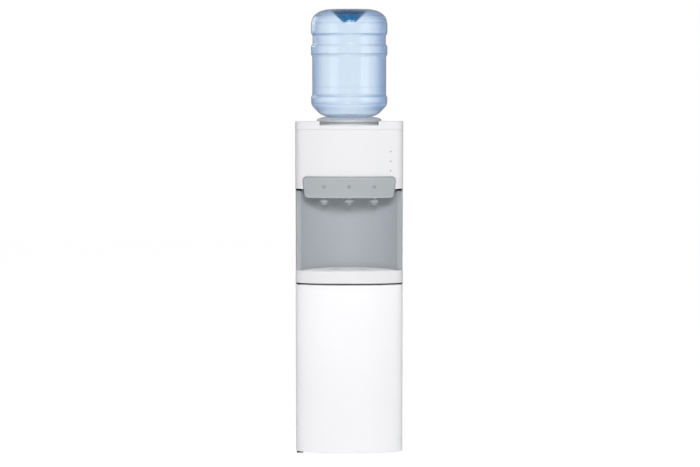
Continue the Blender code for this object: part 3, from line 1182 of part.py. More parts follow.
def make_cooling_lines():
    side = CONDENSER_HALF_WIDTH + CONDENSER_BEND
    entry = CONDENSER_IN_Y - SEAT_GAP
    suction_port, discharge_port = compressor_ports()
    rise = COMPRESSOR_DOME / 2
    x, y, z = discharge_port[0], discharge_port[1], discharge_port[2] + SEAT_GAP
    route = [(x, y, z), (x, y, z + rise), (discharge_x(), line_y(), (z + SHELF_TOP) / 2),
             (discharge_x(), line_y(), SHELF_TOP),
             (discharge_x(), line_y(), CONDENSER_HIGH - CONDENSER_PITCH),
             (side, entry - CONDENSER_INSIDE, CONDENSER_HIGH), (side, entry, CONDENSER_HIGH)]
    tube("discharge_pipe", smooth_route(route), LINE_RADIUS, COPPER_TUBE)
    end = coil_points()[-1]
    out = Vector((end[0], end[1] - BOTTLE_Y)).normalized()
    clear = JACKET_OUTER + 3 * LINE_RADIUS
    top = end[2] + SEAT_GAP
    x, y, z = suction_port[0], suction_port[1], suction_port[2] + SEAT_GAP
    route = [(end[0], end[1], top), (end[0], end[1], top + LINE_RADIUS),
             (out.x * JACKET_OUTER, BOTTLE_Y + out.y * JACKET_OUTER, top + 2 * LINE_RADIUS),
             (out.x * clear, BOTTLE_Y + out.y * clear, TANK_TOP - 3 * LINE_RADIUS),
             (suction_x(), line_y(), TANK_BOTTOM), (suction_x(), line_y(), (TANK_BOTTOM + SHELF_TOP) / 2),
             (suction_x(), line_y(), SHELF_TOP), (suction_x(), line_y(), (z + SHELF_TOP) / 2),
             (x, y, z + rise), (x, y, z)]
    tube("suction_pipe", smooth_route(route), LINE_RADIUS, COPPER_TUBE)
    tail_y = BOTTLE_Y + COIL_RADIUS
    tail = STUB_TIP - SEAT_GAP
    route = [(side, entry, CONDENSER_LOW), (side, entry - CONDENSER_INSIDE, CONDENSER_LOW),
             (side - CONDENSER_BEND, tail_y, CONDENSER_LOW + CONDENSER_PITCH),
             (side / 2, tail_y, (CONDENSER_LOW + STUB_TIP) / 2), (0, tail_y, tail - CONDENSER_PITCH / 2),
             (0, tail_y, tail)]
    tube("capillary_line", smooth_route(route), LINE_RADIUS, COPPER_TUBE)


def make_water_pipes():
    """From the tanks over the alcove's back wall into the head, and from the cold to the hot tank"""
    over = (UPPER_BOTTOM + HEAD_TOP - SHELL) / 2
    tip = STUB_TIP - SEAT_GAP
    tap_end = TAP_TOP + SEAT_GAP
    hot_x, ambient_x, cold_x = stub_x()
    wall_y = ALCOVE_REAR_Y
    for name, start, x in (("ambient_pipe", ambient_x, 0), ("cold_pipe", cold_x, TAP_X)):
        route = [(start, STUB_Y, tip), (start, STUB_Y, tip - PIPE_RADIUS),
                 (start, STUB_Y - STUB_SETBACK, over), (x, wall_y, over), (x, TAP_Y + 3 * PIPE_RADIUS, over),
                 (x, TAP_Y, tap_end + 2 * PIPE_RADIUS), (x, TAP_Y, tap_end)]
        tube(name, smooth_route(route), PIPE_RADIUS, SILICONE_TUBE)
    outlet, inlet = hot_ports()
    top = outlet[2] + SEAT_GAP
    route = [(outlet[0], outlet[1], top), (outlet[0], outlet[1], top + 2 * PIPE_RADIUS),
             (outlet[0], (outlet[1] + wall_y) / 2, over), (-TAP_X, wall_y, over),
             (-TAP_X, TAP_Y + 3 * PIPE_RADIUS, over), (-TAP_X, TAP_Y, tap_end + 2 * PIPE_RADIUS),
             (-TAP_X, TAP_Y, tap_end)]
    tube("hot_pipe", smooth_route(route), PIPE_RADIUS, SILICONE_TUBE)
    route = [(hot_x, STUB_Y, tip), (hot_x, STUB_Y, tip - 3 * PIPE_RADIUS),
             (inlet[0], inlet[1], top + 3 * PIPE_RADIUS), (inlet[0], inlet[1], top)]
    tube("hot_feed_pipe", smooth_route(route), PIPE_RADIUS, SILICONE_TUBE)


def make_drain():
    x, y = HOT_TANK_X, HOT_TANK_Y
    top = HOT_TANK_BOTTOM - DRAIN_NECK - SEAT_GAP
    end = BACK_Y + DRAIN_BEYOND
    tube("drain_pipe", [(x, y, top), (x, y, DRAIN_Z), (x, end, DRAIN_Z)], PIPE_RADIUS, SILICONE_TUBE, 2)
    bore = PIPE_RADIUS + SEAT_GAP
    inside = DRAIN_BEYOND + SEAT_GAP
    outside = inside + DRAIN_CAP_END
    outline = [(0, outside), (DRAIN_CAP_RADIUS, outside), (DRAIN_CAP_RADIUS, DRAIN_CAP_START),
               (bore, DRAIN_CAP_START), (bore, inside), (0, inside)]
    turned("drain_cap", outline, (x, BACK_Y, DRAIN_Z), BLACK_PLASTIC, FINE_STEPS, REARWARD)


def make_switches():
    """A frame in the back panel with two rockers on pins"""
    x, z = SWITCH_X, SWITCH_Z
    half, tall = SWITCH_FRAME_SIZE[0] / 2, SWITCH_FRAME_SIZE[1] / 2
    lip_front, front = BACK_Y + SEAT_GAP, BACK_Y - SWITCH_FRAME_DEPTH
    end = lip_front + SWITCH_FRAME_LIP
    frame = block("switch_frame", (x - half, lip_front, z - tall), (x + half, end, z + tall), BLACK_PLASTIC)
    wall = SWITCH_FRAME_WALL
    body = block("switch_body", (x - half + wall, front, z - tall + wall),
                 (x + half - wall, lip_front + SWITCH_FRAME_LIP / 2, z + tall - wall))
    combine(frame, 'UNION', body)
    axis_y = BACK_Y - ROCKER_SETBACK
    opening = ROCKER_RADIUS + ROCKER_CLEARANCE
    pin_reach = ROCKER_PITCH / 2 + ROCKER_WIDTH / 2 + ROCKER_PIN_LENGTH + SEAT_GAP
    for sign in (-1, 1):
        middle = x + sign * ROCKER_PITCH / 2
        reach = ROCKER_WIDTH / 2 + SEAT_GAP
        window = block("rocker_window", (middle - reach, front - OVERRUN, z - opening),
                       (middle + reach, end + OVERRUN, z + opening))
        combine(frame, 'DIFFERENCE', window)
    combine(frame, 'DIFFERENCE', rod("pin_way", (x - pin_reach, axis_y, z), (x + pin_reach, axis_y, z),
                                     ROCKER_PIN_RADIUS + SEAT_GAP))
    for name, sign, look in (("hot", -1, RED_PLASTIC), ("cold", 1, GREEN_PLASTIC)):
        middle = x + sign * ROCKER_PITCH / 2
        arc = [radians(angle) for angle in ROCKER_ARC_DEGREES]
        outline = [(ROCKER_RADIUS * cos(angle), ROCKER_RADIUS * sin(angle)) for angle in arc]
        outline += [(ROCKER_RADIUS * cos(angle), -ROCKER_RADIUS * sin(angle)) for angle in reversed(arc)]
        outline.append((ROCKER_VALLEY_SHARE * ROCKER_RADIUS, 0))
        rocker = plate(f"rocker_{name}", [outline], -ROCKER_WIDTH / 2, ROCKER_WIDTH / 2, look, SIDE)
        pin_half = ROCKER_WIDTH / 2 + ROCKER_PIN_LENGTH
        pin = rod("rocker_pin", (middle - pin_half, axis_y, z), (middle + pin_half, axis_y, z),
                  ROCKER_PIN_RADIUS)
        rocker.data.transform(Matrix.Rotation(radians(ROCKER_TILT_DEGREES), 4, 'X'))
        rocker.location = (middle, axis_y, z)
        combine(rocker, 'UNION', pin)


def make_electrics():
    thickness, depth, height = BOARD_SIZE
    x, y = BOARD_X, BOARD_Y
    low = SHELF_TOP + SEAT_GAP
    board = block("control_board", (x, y - depth / 2, low), (x + thickness, y + depth / 2, low + height),
                  CIRCUIT_BOARD)
    for across, up, wide, tall in BOARD_BLOCKS_SHARES:
        middle_y, middle_z = y - depth / 2 + across * depth, low + up * height
        half_y, half_z = wide * depth / 2, tall * height / 2
        part = block("board_part", (x + thickness / 2, middle_y - half_y, middle_z - half_z),
                     (x + thickness + BOARD_BLOCK_DEPTH, middle_y + half_y, middle_z + half_z))
        combine(board, 'UNION', part)
    radius = GLAND_RADIUS - SEAT_GAP
    lip = SEAT_GAP + GLAND_LIP
    outline = [(GLAND_BORE, -GLAND_TAIL), (radius, -GLAND_TAIL), (radius, SEAT_GAP),
               (GLAND_LIP_RADIUS, SEAT_GAP), (GLAND_LIP_RADIUS, lip), (GLAND_BORE, lip)]
    turned("inlet_gland", outline, (GLAND_X, BACK_Y, GLAND_Z), RUBBER, FINE_STEPS, REARWARD)


for make in (make_base, make_feet, make_side_panels, make_back_panel, make_top_cover, make_upper_panel,
             make_light_guide, make_alcove, make_ledge, make_tray, make_door, make_hinges, make_cupboard,
             make_shelves, make_head, make_rack, make_buttons, make_taps, make_bottle_seat, make_bottle,
             make_cold_side, make_hot_side, make_compressor, make_condenser, make_cooling_lines,
             make_water_pipes, make_drain, make_switches, make_electrics):
    make()
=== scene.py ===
# Water dispenser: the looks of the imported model, its finer shapes, and the studio

import bmesh
import bpy
import numpy as np
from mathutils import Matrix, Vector


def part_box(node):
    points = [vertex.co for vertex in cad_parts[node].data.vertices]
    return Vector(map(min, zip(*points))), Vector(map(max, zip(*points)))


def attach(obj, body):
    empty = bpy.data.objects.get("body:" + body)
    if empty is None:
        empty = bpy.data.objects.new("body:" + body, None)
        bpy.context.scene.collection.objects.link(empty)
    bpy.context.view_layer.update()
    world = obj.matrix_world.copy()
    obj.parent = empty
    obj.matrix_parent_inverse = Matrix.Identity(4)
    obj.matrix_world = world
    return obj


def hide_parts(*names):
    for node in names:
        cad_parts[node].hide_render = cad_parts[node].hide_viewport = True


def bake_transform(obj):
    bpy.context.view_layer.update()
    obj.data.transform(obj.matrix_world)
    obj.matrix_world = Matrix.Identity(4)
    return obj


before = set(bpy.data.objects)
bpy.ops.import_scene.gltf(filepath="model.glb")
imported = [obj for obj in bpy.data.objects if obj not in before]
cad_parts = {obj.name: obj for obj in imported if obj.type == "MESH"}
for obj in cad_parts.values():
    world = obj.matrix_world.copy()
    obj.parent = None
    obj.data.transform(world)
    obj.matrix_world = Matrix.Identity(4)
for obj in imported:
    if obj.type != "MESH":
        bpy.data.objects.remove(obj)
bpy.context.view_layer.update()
TAU = 2 * np.pi

# Places shared with the CAD, in metres
HALF_WIDTH = 0.155
CURVE_DEPTH = 0.038
CURVE_POWER = 2.25
SIDE_Y = -0.120
FRONT_Y = SIDE_Y - CURVE_DEPTH
BACK_Y = 0.142
BOTTLE_Y = -0.011
TAP_Y = -0.113
HEAD_REACH = 0.012
HEAD_LOW = 0.7535
HEAD_HIGH = 0.8137
TAP_DISC = 0.7373
FLANGE_RADIUS = 0.0072
ALCOVE_HALF = 0.150
ALCOVE_BACK_Y = -0.063
ALCOVE_REAR_Y = -0.0605
ALCOVE_SETBACK = 0.0015
DECK_Z = 0.9605
PAN_DEPTH = 0.006
SEAT_RIM_Z = 0.9735
BOTTLE_FOOT_Z = 0.9835
BOTTLE_BODY = 0.309
BOTTLE_RADIUS = 0.1115
BOTTLE_NECK_Z = 0.966
BOTTLE_MOUTH_Z = 0.930

# Wall, gaps, how far a cutter goes past what it cuts, and the limits for meshes
SHELL = 0.0025
CLEARANCE = 0.0006
FIT = 0.0003
OVERRUN = 0.01
MERGE = 1e-6
SHARP_ANGLE = np.radians(32)


# Plans, outlines and meshes

def panel_front(x, inset=0.0, reach=0.0):
    """y of the curved front at x: a superellipse of half width 155 mm, depth 38 mm and power 2.25"""
    share = np.minimum(1.0, np.abs(x) / (HALF_WIDTH - inset))
    return SIDE_Y - reach - (CURVE_DEPTH - inset) * (1 - share**CURVE_POWER) ** (1 / CURVE_POWER)


def curved_front(inset=0.0, rear=SIDE_Y, steps=88):
    """The front's plan, left to right: x = a sin^(2/p) t, y = SIDE_Y - b cos^(2/p) t, up to where y meets rear"""
    depth = CURVE_DEPTH - inset
    limit = np.arccos(np.clip((SIDE_Y - rear) / depth, 0, 1) ** (CURVE_POWER / 2))
    angle = limit * np.linspace(-1, 1, steps + 1)
    x = (HALF_WIDTH - inset) * np.abs(np.sin(angle)) ** (2 / CURVE_POWER) * np.sign(angle)
    y = SIDE_Y - depth * np.abs(np.cos(angle)) ** (2 / CURVE_POWER)
    return np.column_stack((x, y))


def alcove_radius():
    """Radius of the arc through both front edges of the alcove and the middle of its back"""
    depth = ALCOVE_BACK_Y - float(panel_front(ALCOVE_HALF, ALCOVE_SETBACK))
    return (ALCOVE_HALF**2 + depth**2) / (2 * depth)


def alcove_line(half, inset=0.0, steps=96):
    """The alcove's wall in plan, right to left: x = r sin a and y = back - R + r cos a, with r = R - inset"""
    radius = alcove_radius() - inset
    angle = np.arcsin(half / radius) * np.linspace(1, -1, steps + 1)
    return np.column_stack((radius * np.sin(angle), ALCOVE_BACK_Y - alcove_radius() + radius * np.cos(angle)))


def eased(points, radii, steps, hold):
    """A polyline with its corners replaced by arcs, and a point just before and after each arc to hold its flats"""
    points = [np.array(p, float) for p in points]
    line = [points[0]]
    for before, corner, after, radius in zip(points, points[1:], points[2:], radii):
        to_before, to_after = before - corner, after - corner
        reach = min(radius, 0.49 * np.linalg.norm(to_before), 0.49 * np.linalg.norm(to_after))
        if reach <= 0:
            line.append(corner)
            continue
        first = corner + to_before / np.linalg.norm(to_before) * reach
        last = corner + to_after / np.linalg.norm(to_after) * reach
        t = np.linspace(0, 1, steps + 1)[:, None]
        arc = (1 - t) ** 2 * first + 2 * t * (1 - t) * corner + t**2 * last
        if np.linalg.norm(first - line[-1]) > 4 * hold:
            line.append(first + to_before / np.linalg.norm(to_before) * hold)
        line.extend(arc)
        if np.linalg.norm(last - after) > 4 * hold:
            line.append(last + to_after / np.linalg.norm(to_after) * hold)
    return np.array(line + [points[-1]])


def ring(points, radii, steps, hold):
    """A closed outline with eased corners"""
    points = [tuple(p) for p in points]
    middle = tuple((np.array(points[0]) + np.array(points[-1])) / 2)
    line = eased([middle] + points + [middle], radii, steps, hold)
    return line[:-1]


def inset_ring(outline, distance):
    """A closed anticlockwise outline with its edges moved inwards: each corner goes along its bisector"""
    ahead = np.roll(outline, -1, 0) - outline
    ahead /= np.linalg.norm(ahead, axis=1)[:, None]
    behind = np.roll(ahead, 1, 0)
    inward = np.column_stack((-ahead[:, 1] - behind[:, 1], ahead[:, 0] + behind[:, 0]))
    inward /= np.linalg.norm(inward, axis=1)[:, None]
    slope = np.sum(inward * np.column_stack((-ahead[:, 1], ahead[:, 0])), 1)
    return outline + inward * (distance / np.maximum(slope, 0.3))[:, None]


def grid_faces(rows, columns, wrap_rows=False):
    """Quads over a grid of points stored row by row, each row closed on itself"""
    row = np.arange(rows if wrap_rows else rows - 1)[:, None]
    column = np.arange(columns)[None, :]
    next_row, next_column = (row + 1) % rows, (column + 1) % columns
    quads = np.stack((row * columns + column, row * columns + next_column,
                      next_row * columns + next_column, next_row * columns + column), -1)
    return quads.reshape(-1, 4)


def keep_edges(data):
    """Smooth shading, with the edges that turn by more than the sharp angle kept sharp"""
    data.shade_smooth()
    data.set_sharp_from_angle(angle=SHARP_ANGLE)


def make_mesh(name, points, quads, caps=()):
    """A mesh from point and face arrays, with its doubles merged and its faces outwards"""
    data = bpy.data.meshes.new(name)
    faces = [tuple(q) for q in quads.tolist()] + [tuple(cap) for cap in caps]
    data.from_pydata(np.asarray(points).reshape(-1, 3).tolist(), [], faces)
    shape = bmesh.new()
    shape.from_mesh(data)
    bmesh.ops.remove_doubles(shape, verts=shape.verts, dist=MERGE)
    bmesh.ops.dissolve_degenerate(shape, edges=shape.edges, dist=MERGE)
    bmesh.ops.recalc_face_normals(shape, faces=shape.faces)
    shape.to_mesh(data)
    shape.free()
    keep_edges(data)
    item = bpy.data.objects.new(name, data)
    bpy.context.scene.collection.objects.link(item)
    return item


def turned(name, profile, centre=(0, 0), steps=96, along="z", level=0.0):
    """A profile (r, h) turned about an axis: x = r cos a, y = r sin a, z = h, or along y with h to the rear"""
    angle = np.arange(steps) / steps * TAU
    profile = np.asarray(profile, float)
    r, h = profile[:, 0][:, None], profile[:, 1][:, None]
    u, v, w = r * np.cos(angle), r * np.sin(angle), h + 0 * angle
    if along == "z":
        points = np.stack((centre[0] + u, centre[1] + v, level + w), -1)
    else:
        points = np.stack((centre[0] + u, level + w, centre[1] + v), -1)
    closed = profile[:, 0].min() > 0
    return make_mesh(name, points, grid_faces(len(profile), steps, wrap_rows=closed))


def slab(name, outline, profile, upright="z"):
    """An outline stacked through (inset, level) pairs: each level is the outline moved inwards by its inset, or what
    a function gives for that inset"""
    plans = [outline(inset) if callable(outline) else inset_ring(outline, inset) for inset, level in profile]
    count = len(plans[0])
    levels = [level for inset, level in profile]
    points = np.stack([np.column_stack((plan, np.full(count, level))) for plan, level in zip(plans, levels)])
    if upright == "y":
        points = points[..., [0, 2, 1]]
    last = (len(profile) - 1) * count
    caps = [range(count), range(last, last + count)]
    return make_mesh(name, points, grid_faces(len(profile), count), caps)


def edges(low, high, low_radius, high_radius, steps, hold=0.0006):
    """The (inset, level) pairs of a slab whose lower and upper edges are rounded"""
    turn = np.linspace(0, np.pi / 2, steps + 1)
    rise = [(low_radius * (1 - np.sin(a)), low + low_radius * (1 - np.cos(a))) for a in turn]
    fall = [(high_radius * (1 - np.cos(a)), high - high_radius * (1 - np.sin(a))) for a in turn]
    start, end = (rise[0][0] + hold, low), (fall[-1][0] + hold, high)
    return [start] + rise + [(0, rise[-1][1] + hold), (0, fall[0][1] - hold)] + fall + [end]


def settle(item):
    """Put what the modifiers make into the mesh, so that the piece is plain from here on"""
    graph = bpy.context.evaluated_depsgraph_get()
    old = item.data
    item.data = bpy.data.meshes.new_from_object(item.evaluated_get(graph))
    item.modifiers.clear()
    bpy.data.meshes.remove(old)


def shape_with(item, operation, *tools):
    """Cut the tools out of a piece, or join them to it"""
    for tool in tools:
        change = item.modifiers.new("shape", 'BOOLEAN')
        change.operation = operation
        change.solver = 'EXACT'
        change.object = tool
    bpy.context.view_layer.update()
    settle(item)
    for tool in tools:
        bpy.data.objects.remove(tool, do_unlink=True)
    keep_edges(item.data)
    return item


def finished(item, body, slot, finish, *nodes):
    """Hand a piece over: its body, its material and the nodes that it stands for; its record slot is not used"""
    item.data.materials.clear()
    item.data.materials.append(finish)
    weigh = item.modifiers.new("flats", 'WEIGHTED_NORMAL')
    weigh.keep_sharp = True
    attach(item, body)
    if nodes:
        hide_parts(*nodes)


def capsule(length, width, steps=8):
    """A slot's outline, long in y, with round ends"""
    turn = np.linspace(0, np.pi, steps + 1)
    r, reach = width / 2, length / 2 - width / 2
    top = np.column_stack((r * np.cos(turn), reach + r * np.sin(turn)))
    return np.vstack((top, -top))


# Shader maths

class Wire:
    """A socket that takes part in Python expressions; each operator adds its Math node"""

    def __init__(self, maker, socket):
        self.maker, self.socket = maker, socket

    def _math(self, kind, *values):
        return self.maker.node("ShaderNodeMath", {"operation": kind}, dict(enumerate(values)))

    def __add__(self, other): return self._math('ADD', self, other)
    def __radd__(self, other): return self._math('ADD', other, self)
    def __sub__(self, other): return self._math('SUBTRACT', self, other)
    def __rsub__(self, other): return self._math('SUBTRACT', other, self)
    def __mul__(self, other): return self._math('MULTIPLY', self, other)
    def __truediv__(self, other): return self._math('DIVIDE', self, other)
    def above(self, other): return self._math('GREATER_THAN', self, other)
    def below(self, other): return self._math('LESS_THAN', self, other)
    def larger(self, other): return self._math('MAXIMUM', self, other)
    def size(self): return self._math('ABSOLUTE', self)
    def root(self): return self._math('SQRT', self)

    def band(self, low, high):
        """0 up to low, 1 from high on, smooth between"""
        return self.maker.node("ShaderNodeMapRange", {"interpolation_type": 'SMOOTHSTEP'},
                               {"Value": self, "From Min": low, "From Max": high, "To Min": 0.0, "To Max": 1.0})


class Finish:
    """One procedural material in the making"""

    def __init__(self, name):
        self.material = bpy.data.materials.new(name)
        self.material.use_nodes = True
        self.tree = self.material.node_tree
        self.tree.nodes.clear()
        self.shader = self.tree.nodes.new("ShaderNodeBsdfPrincipled")
        self.end = self.tree.nodes.new("ShaderNodeOutputMaterial")
        self.tree.links.new(self.shader.outputs[0], self.end.inputs["Surface"])

    def node(self, kind, settings, values, output=0):
        node = self.tree.nodes.new(kind)
        for key, value in settings.items():
            setattr(node, key, value)
        for key, value in values.items():
            self.feed(node.inputs[key], value)
        return Wire(self, node.outputs[output])

    def feed(self, socket, value):
        if isinstance(value, Wire):
            self.tree.links.new(value.socket, socket)
        elif isinstance(value, tuple) and len(value) == 3 and socket.type == 'RGBA':
            socket.default_value = (*value, 1.0)
        else:
            socket.default_value = value

    def place(self, scale=(1, 1, 1)):
        """Object coordinates, stretched"""
        coordinates = self.tree.nodes.new("ShaderNodeTexCoord")
        return self.node("ShaderNodeMapping", {}, {"Vector": Wire(self, coordinates.outputs["Object"]),
                                                   "Scale": scale})

    def axes(self):
        """x, y and z of the surface, in metres"""
        split = self.tree.nodes.new("ShaderNodeSeparateXYZ")
        self.tree.links.new(self.place().socket, split.inputs[0])
        return [Wire(self, socket) for socket in split.outputs]

    def noise(self, scale, detail, stretch=(1, 1, 1)):
        return self.node("ShaderNodeTexNoise", {},
                         {"Vector": self.place(stretch), "Scale": scale, "Detail": detail, "Roughness": 0.5})

    def cells(self, scale, feature='F1', output=0):
        return self.node("ShaderNodeTexVoronoi", {"feature": feature},
                         {"Vector": self.place(), "Scale": scale}, output)

    def blend(self, share, first, second):
        """A colour between two colours"""
        mix = self.tree.nodes.new("ShaderNodeMix")
        mix.data_type = 'RGBA'
        for key, value in ((0, share), (6, first), (7, second)):
            self.feed(mix.inputs[key], value)
        return Wire(self, mix.outputs[2])

    def bump(self, height, strength, distance):
        return self.node("ShaderNodeBump", {}, {"Height": height, "Strength": strength, "Distance": distance})

    def set(self, **sockets):
        for key, value in sockets.items():
            self.feed(self.shader.inputs[key.replace("_", " ")], value)
        return self.material


def tone(red, green, blue):
    """A colour as read off a picture, 0 to 255, as the renderer wants it"""
    values = np.array((red, green, blue)) / 255
    return tuple(float(v) for v in np.where(values <= 0.04045, values / 12.92, ((values + 0.055) / 1.055) ** 2.4))


def moulded(name, colour, rough, grain=0.06):
    """Moulded plastic: a very fine grain in the bump, and slow drifts of tone and gloss as from the mould"""
    f = Finish(name)
    slow, fine, drift = f.noise(7, 3), f.noise(900, 3), 0.03
    darker = tuple(c * (1 - drift) for c in colour)
    lighter = tuple(min(1.0, c * (1 + drift / 2)) for c in colour)
    return f.set(Base_Color=f.blend(slow, darker, lighter), Roughness=rough - 0.04 + slow * 0.08,
                 Normal=f.bump(fine, grain, 0.0001))


# Finishes

def glossy_white(name, level):
    """White appliance plastic: soft orange peel under a clear gloss; level is its tone, 0 to 255"""
    f = Finish(name)
    slow, peel, fine = f.noise(5, 2), f.noise(130, 1), f.noise(1500, 2)
    darker, lighter = tone(level - 2, level - 2, level), tone(level + 2, level + 2, level + 4)
    return f.set(Base_Color=f.blend(slow, darker, lighter), Roughness=0.27 + slow * 0.05,
                 Normal=f.bump(peel + fine * 0.25, 0.05, 0.0002), Specular_IOR_Level=0.45)


def painted_sheet():
    """Powder paint on sheet steel: orange peel with a fine texture on top"""
    f = Finish("painted_sheet")
    slow, peel = f.noise(4, 2), f.noise(420, 2)
    return f.set(Base_Color=f.blend(slow, tone(236, 236, 238), tone(243, 243, 245)), Roughness=0.36 + slow * 0.06,
                 Normal=f.bump(peel, 0.12, 0.0002))


def alcove_grey():
    """Mid grey moulding with a fine matt spark texture, and painted light on its two front edges"""
    f = Finish("alcove_grey")
    y = f.axes()[1]
    slow, spark = f.noise(6, 3), f.cells(1400)
    wall = f.blend(slow, tone(162, 168, 172), tone(169, 175, 179))
    # The two front edges are painted paler: painted light
    painted_light_edge = y.band(SIDE_Y + 0.0025, SIDE_Y + 0.0005)
    return f.set(Base_Color=f.blend(painted_light_edge, wall, tone(186, 189, 191)), Roughness=0.44 + slow * 0.06,
                 Normal=f.bump(spark, 0.10, 0.0001))


def head_grey():
    """Light grey satin moulding, with a painted highlight along its lower edge"""
    f = Finish("head_grey")
    z = f.axes()[2]
    slow, grain = f.noise(8, 2), f.noise(1100, 3)
    # A band along the lower edge painted paler: painted highlight
    strip = z.band(HEAD_LOW + 0.005, HEAD_LOW + 0.004) * z.band(HEAD_LOW - 0.001, HEAD_LOW)
    colour = f.blend(slow, tone(165, 170, 173), tone(172, 177, 180))
    return f.set(Base_Color=f.blend(strip * 0.5, colour, tone(196, 201, 204)), Roughness=0.33 + slow * 0.06,
                 Normal=f.bump(grain, 0.05, 0.0001))


def tap_grey():
    """Satin moulding: a paler collar disc, painted light, over a darker spout, painted shade"""
    f = Finish("tap_grey")
    z = f.axes()[2]
    slow, grain = f.noise(30, 2), f.noise(1100, 2)
    # Paler above the disc's lower face and darker below it: painted light on the disc, painted shade on the spout
    disc = z.band(TAP_DISC - 0.0006, TAP_DISC + 0.0002)
    return f.set(Base_Color=f.blend(disc, tone(164, 168, 172), tone(214, 217, 220)), Roughness=0.26 + slow * 0.06,
                 Normal=f.bump(grain, 0.04, 0.0001))


def seat_grey():
    """Grey moulding with fine turned marks and a soft gloss"""
    f = Finish("seat_grey")
    slow, grain = f.noise(9, 2), f.noise(900, 2)
    return f.set(Base_Color=f.blend(slow, tone(206, 209, 213), tone(214, 217, 221)), Roughness=0.26 + slow * 0.05,
                 Normal=f.bump(grain, 0.04, 0.0001))


def blown_blue():
    """Blue tinted bottle: deeper where the wall is seen edge on and in the hollow base, with painted shade at the
    grooves and on its right side, and painted light on its foot
    """
    f = Finish("blown_blue")
    x, y, z = f.axes()
    streak, slow = f.noise(22, 3, (1, 1, 0.12)), f.noise(5, 2)
    facing = f.node("ShaderNodeLayerWeight", {}, {"Blend": 0.5}, 1)
    sideways = x.size().band(0.0, 0.08) * 0.6 + 0.4
    # Painted shade along the grooves, stronger towards the sides
    groove = 0.0
    for level, width, depth in ((1.2199, 0.0026, 1.2), (1.1630, 0.0024, 0.9), (1.0667, 0.0030, 0.15),
                                (1.0420, 0.0024, 0.9), (1.0199, 0.0026, 0.8)):
        groove = ((z - level).size() / width).band(1.0, 0.0) * sideways * depth + groove
    clear = f.blend(streak, (0.785, 0.87, 0.955), (0.83, 0.895, 0.965))
    # Painted shade on the right side of the bottle
    right = x.band(0.02, 0.10) * facing.band(0.05, 0.5) * 0.3
    # The edge tint fades out low on the bottle: painted light on its foot
    edge = (facing.band(0.12, 0.75) + right) * z.band(0.985, 1.005)
    body = f.blend(edge, clear, (0.40, 0.51, 0.69))
    lined = f.blend(groove, body, (0.36, 0.48, 0.66))
    radius = (x * x + (y - BOTTLE_Y) * (y - BOTTLE_Y)).root()
    punt = radius.band(0.0600, 0.0560) * z.band(1.246, 1.250)
    punt_colour = f.blend(z.band(1.256, 1.286), (0.02, 0.42, 0.78), (0.0005, 0.21, 0.42))
    index, gloss = 1.28, 0.12
    deep = f.node("ShaderNodeBsdfPrincipled", {}, {"Base Color": punt_colour, "Roughness": 0.30, "IOR": index,
                                                   "Transmission Weight": 0.45, "Specular IOR Level": gloss})
    f.set(Base_Color=f.blend(punt, lined, (0.001, 0.20, 0.46)), Roughness=0.12 + slow * 0.04,
          Transmission_Weight=1.0, IOR=index, Specular_IOR_Level=gloss, Normal=f.bump(streak, 0.05, 0.0004))
    mixed = f.node("ShaderNodeMixShader", {}, {0: punt * 0.85, 1: Wire(f, f.shader.outputs[0]), 2: deep})
    f.tree.links.new(mixed.socket, f.end.inputs["Surface"])
    return f.material


def cap_blue():
    return moulded("cap_blue", tone(18, 84, 160), 0.38)


def black_moulding():
    return moulded("black_moulding", tone(38, 38, 41), 0.46, 0.10)


def black_enamel():
    """Black stoving enamel on steel"""
    f = Finish("black_enamel")
    slow, peel = f.noise(12, 3), f.noise(260, 2)
    return f.set(Base_Color=f.blend(slow, tone(26, 27, 29), tone(38, 39, 42)), Roughness=0.34 + slow * 0.12,
                 Normal=f.bump(peel, 0.18, 0.0003), Metallic=0.2)


def soft_rubber():
    """Black rubber with lighter patches, as from dust"""
    f = Finish("soft_rubber")
    dust, grain = f.noise(60, 5), f.noise(1200, 2)
    return f.set(Base_Color=f.blend(dust, tone(30, 30, 32), tone(48, 47, 46)), Roughness=0.72 + dust * 0.18,
                 Normal=f.bump(grain, 0.25, 0.0001))


def zinc_sheet():
    """Zinc coated sheet: crystals that differ a little in tone and gloss"""
    f = Finish("zinc_sheet")
    crystal = f.cells(150, output=1)
    mark = f.node("ShaderNodeSeparateColor", {}, {0: crystal})
    return f.set(Base_Color=f.blend(mark, tone(160, 165, 170), tone(196, 200, 205)), Roughness=0.30 + mark * 0.2,
                 Metallic=0.9, Normal=f.bump(f.noise(40, 3), 0.05, 0.0003))


def stainless():
    """Drawn stainless steel: fine lines round the piece"""
    f = Finish("stainless")
    lines = f.noise(30, 4, (1, 1, 60))
    return f.set(Base_Color=f.blend(lines, tone(188, 190, 193), tone(214, 215, 218)), Metallic=1.0,
                 Roughness=0.20 + lines * 0.16, Normal=f.bump(lines, 0.08, 0.0001))


def copper_tube():
    """Drawn copper, dulled in patches"""
    f = Finish("copper_tube")
    patch, fine = f.noise(38, 5), f.noise(300, 2)
    return f.set(Base_Color=f.blend(patch.band(0.45, 0.7), tone(205, 128, 92), tone(128, 78, 60)),
                 Roughness=0.26 + patch * 0.3, Metallic=1.0, Normal=f.bump(fine, 0.06, 0.0001))


def silicone_hose():
    """Milky silicone hose"""
    f = Finish("silicone_hose")
    slow, fine = f.noise(20, 2), f.noise(500, 2)
    return f.set(Base_Color=f.blend(slow, tone(214, 216, 212), tone(228, 229, 226)), Roughness=0.42 + slow * 0.1,
                 Normal=f.bump(fine, 0.08, 0.0001))


def rigid_foam():
    """Pale foam with open cells"""
    f = Finish("rigid_foam")
    cell, slow = f.cells(420), f.noise(14, 3)
    return f.set(Base_Color=f.blend(slow, tone(226, 214, 178), tone(240, 231, 200)), Roughness=0.86 + cell * 0.1,
                 Normal=f.bump(cell, 0.5, 0.0005))


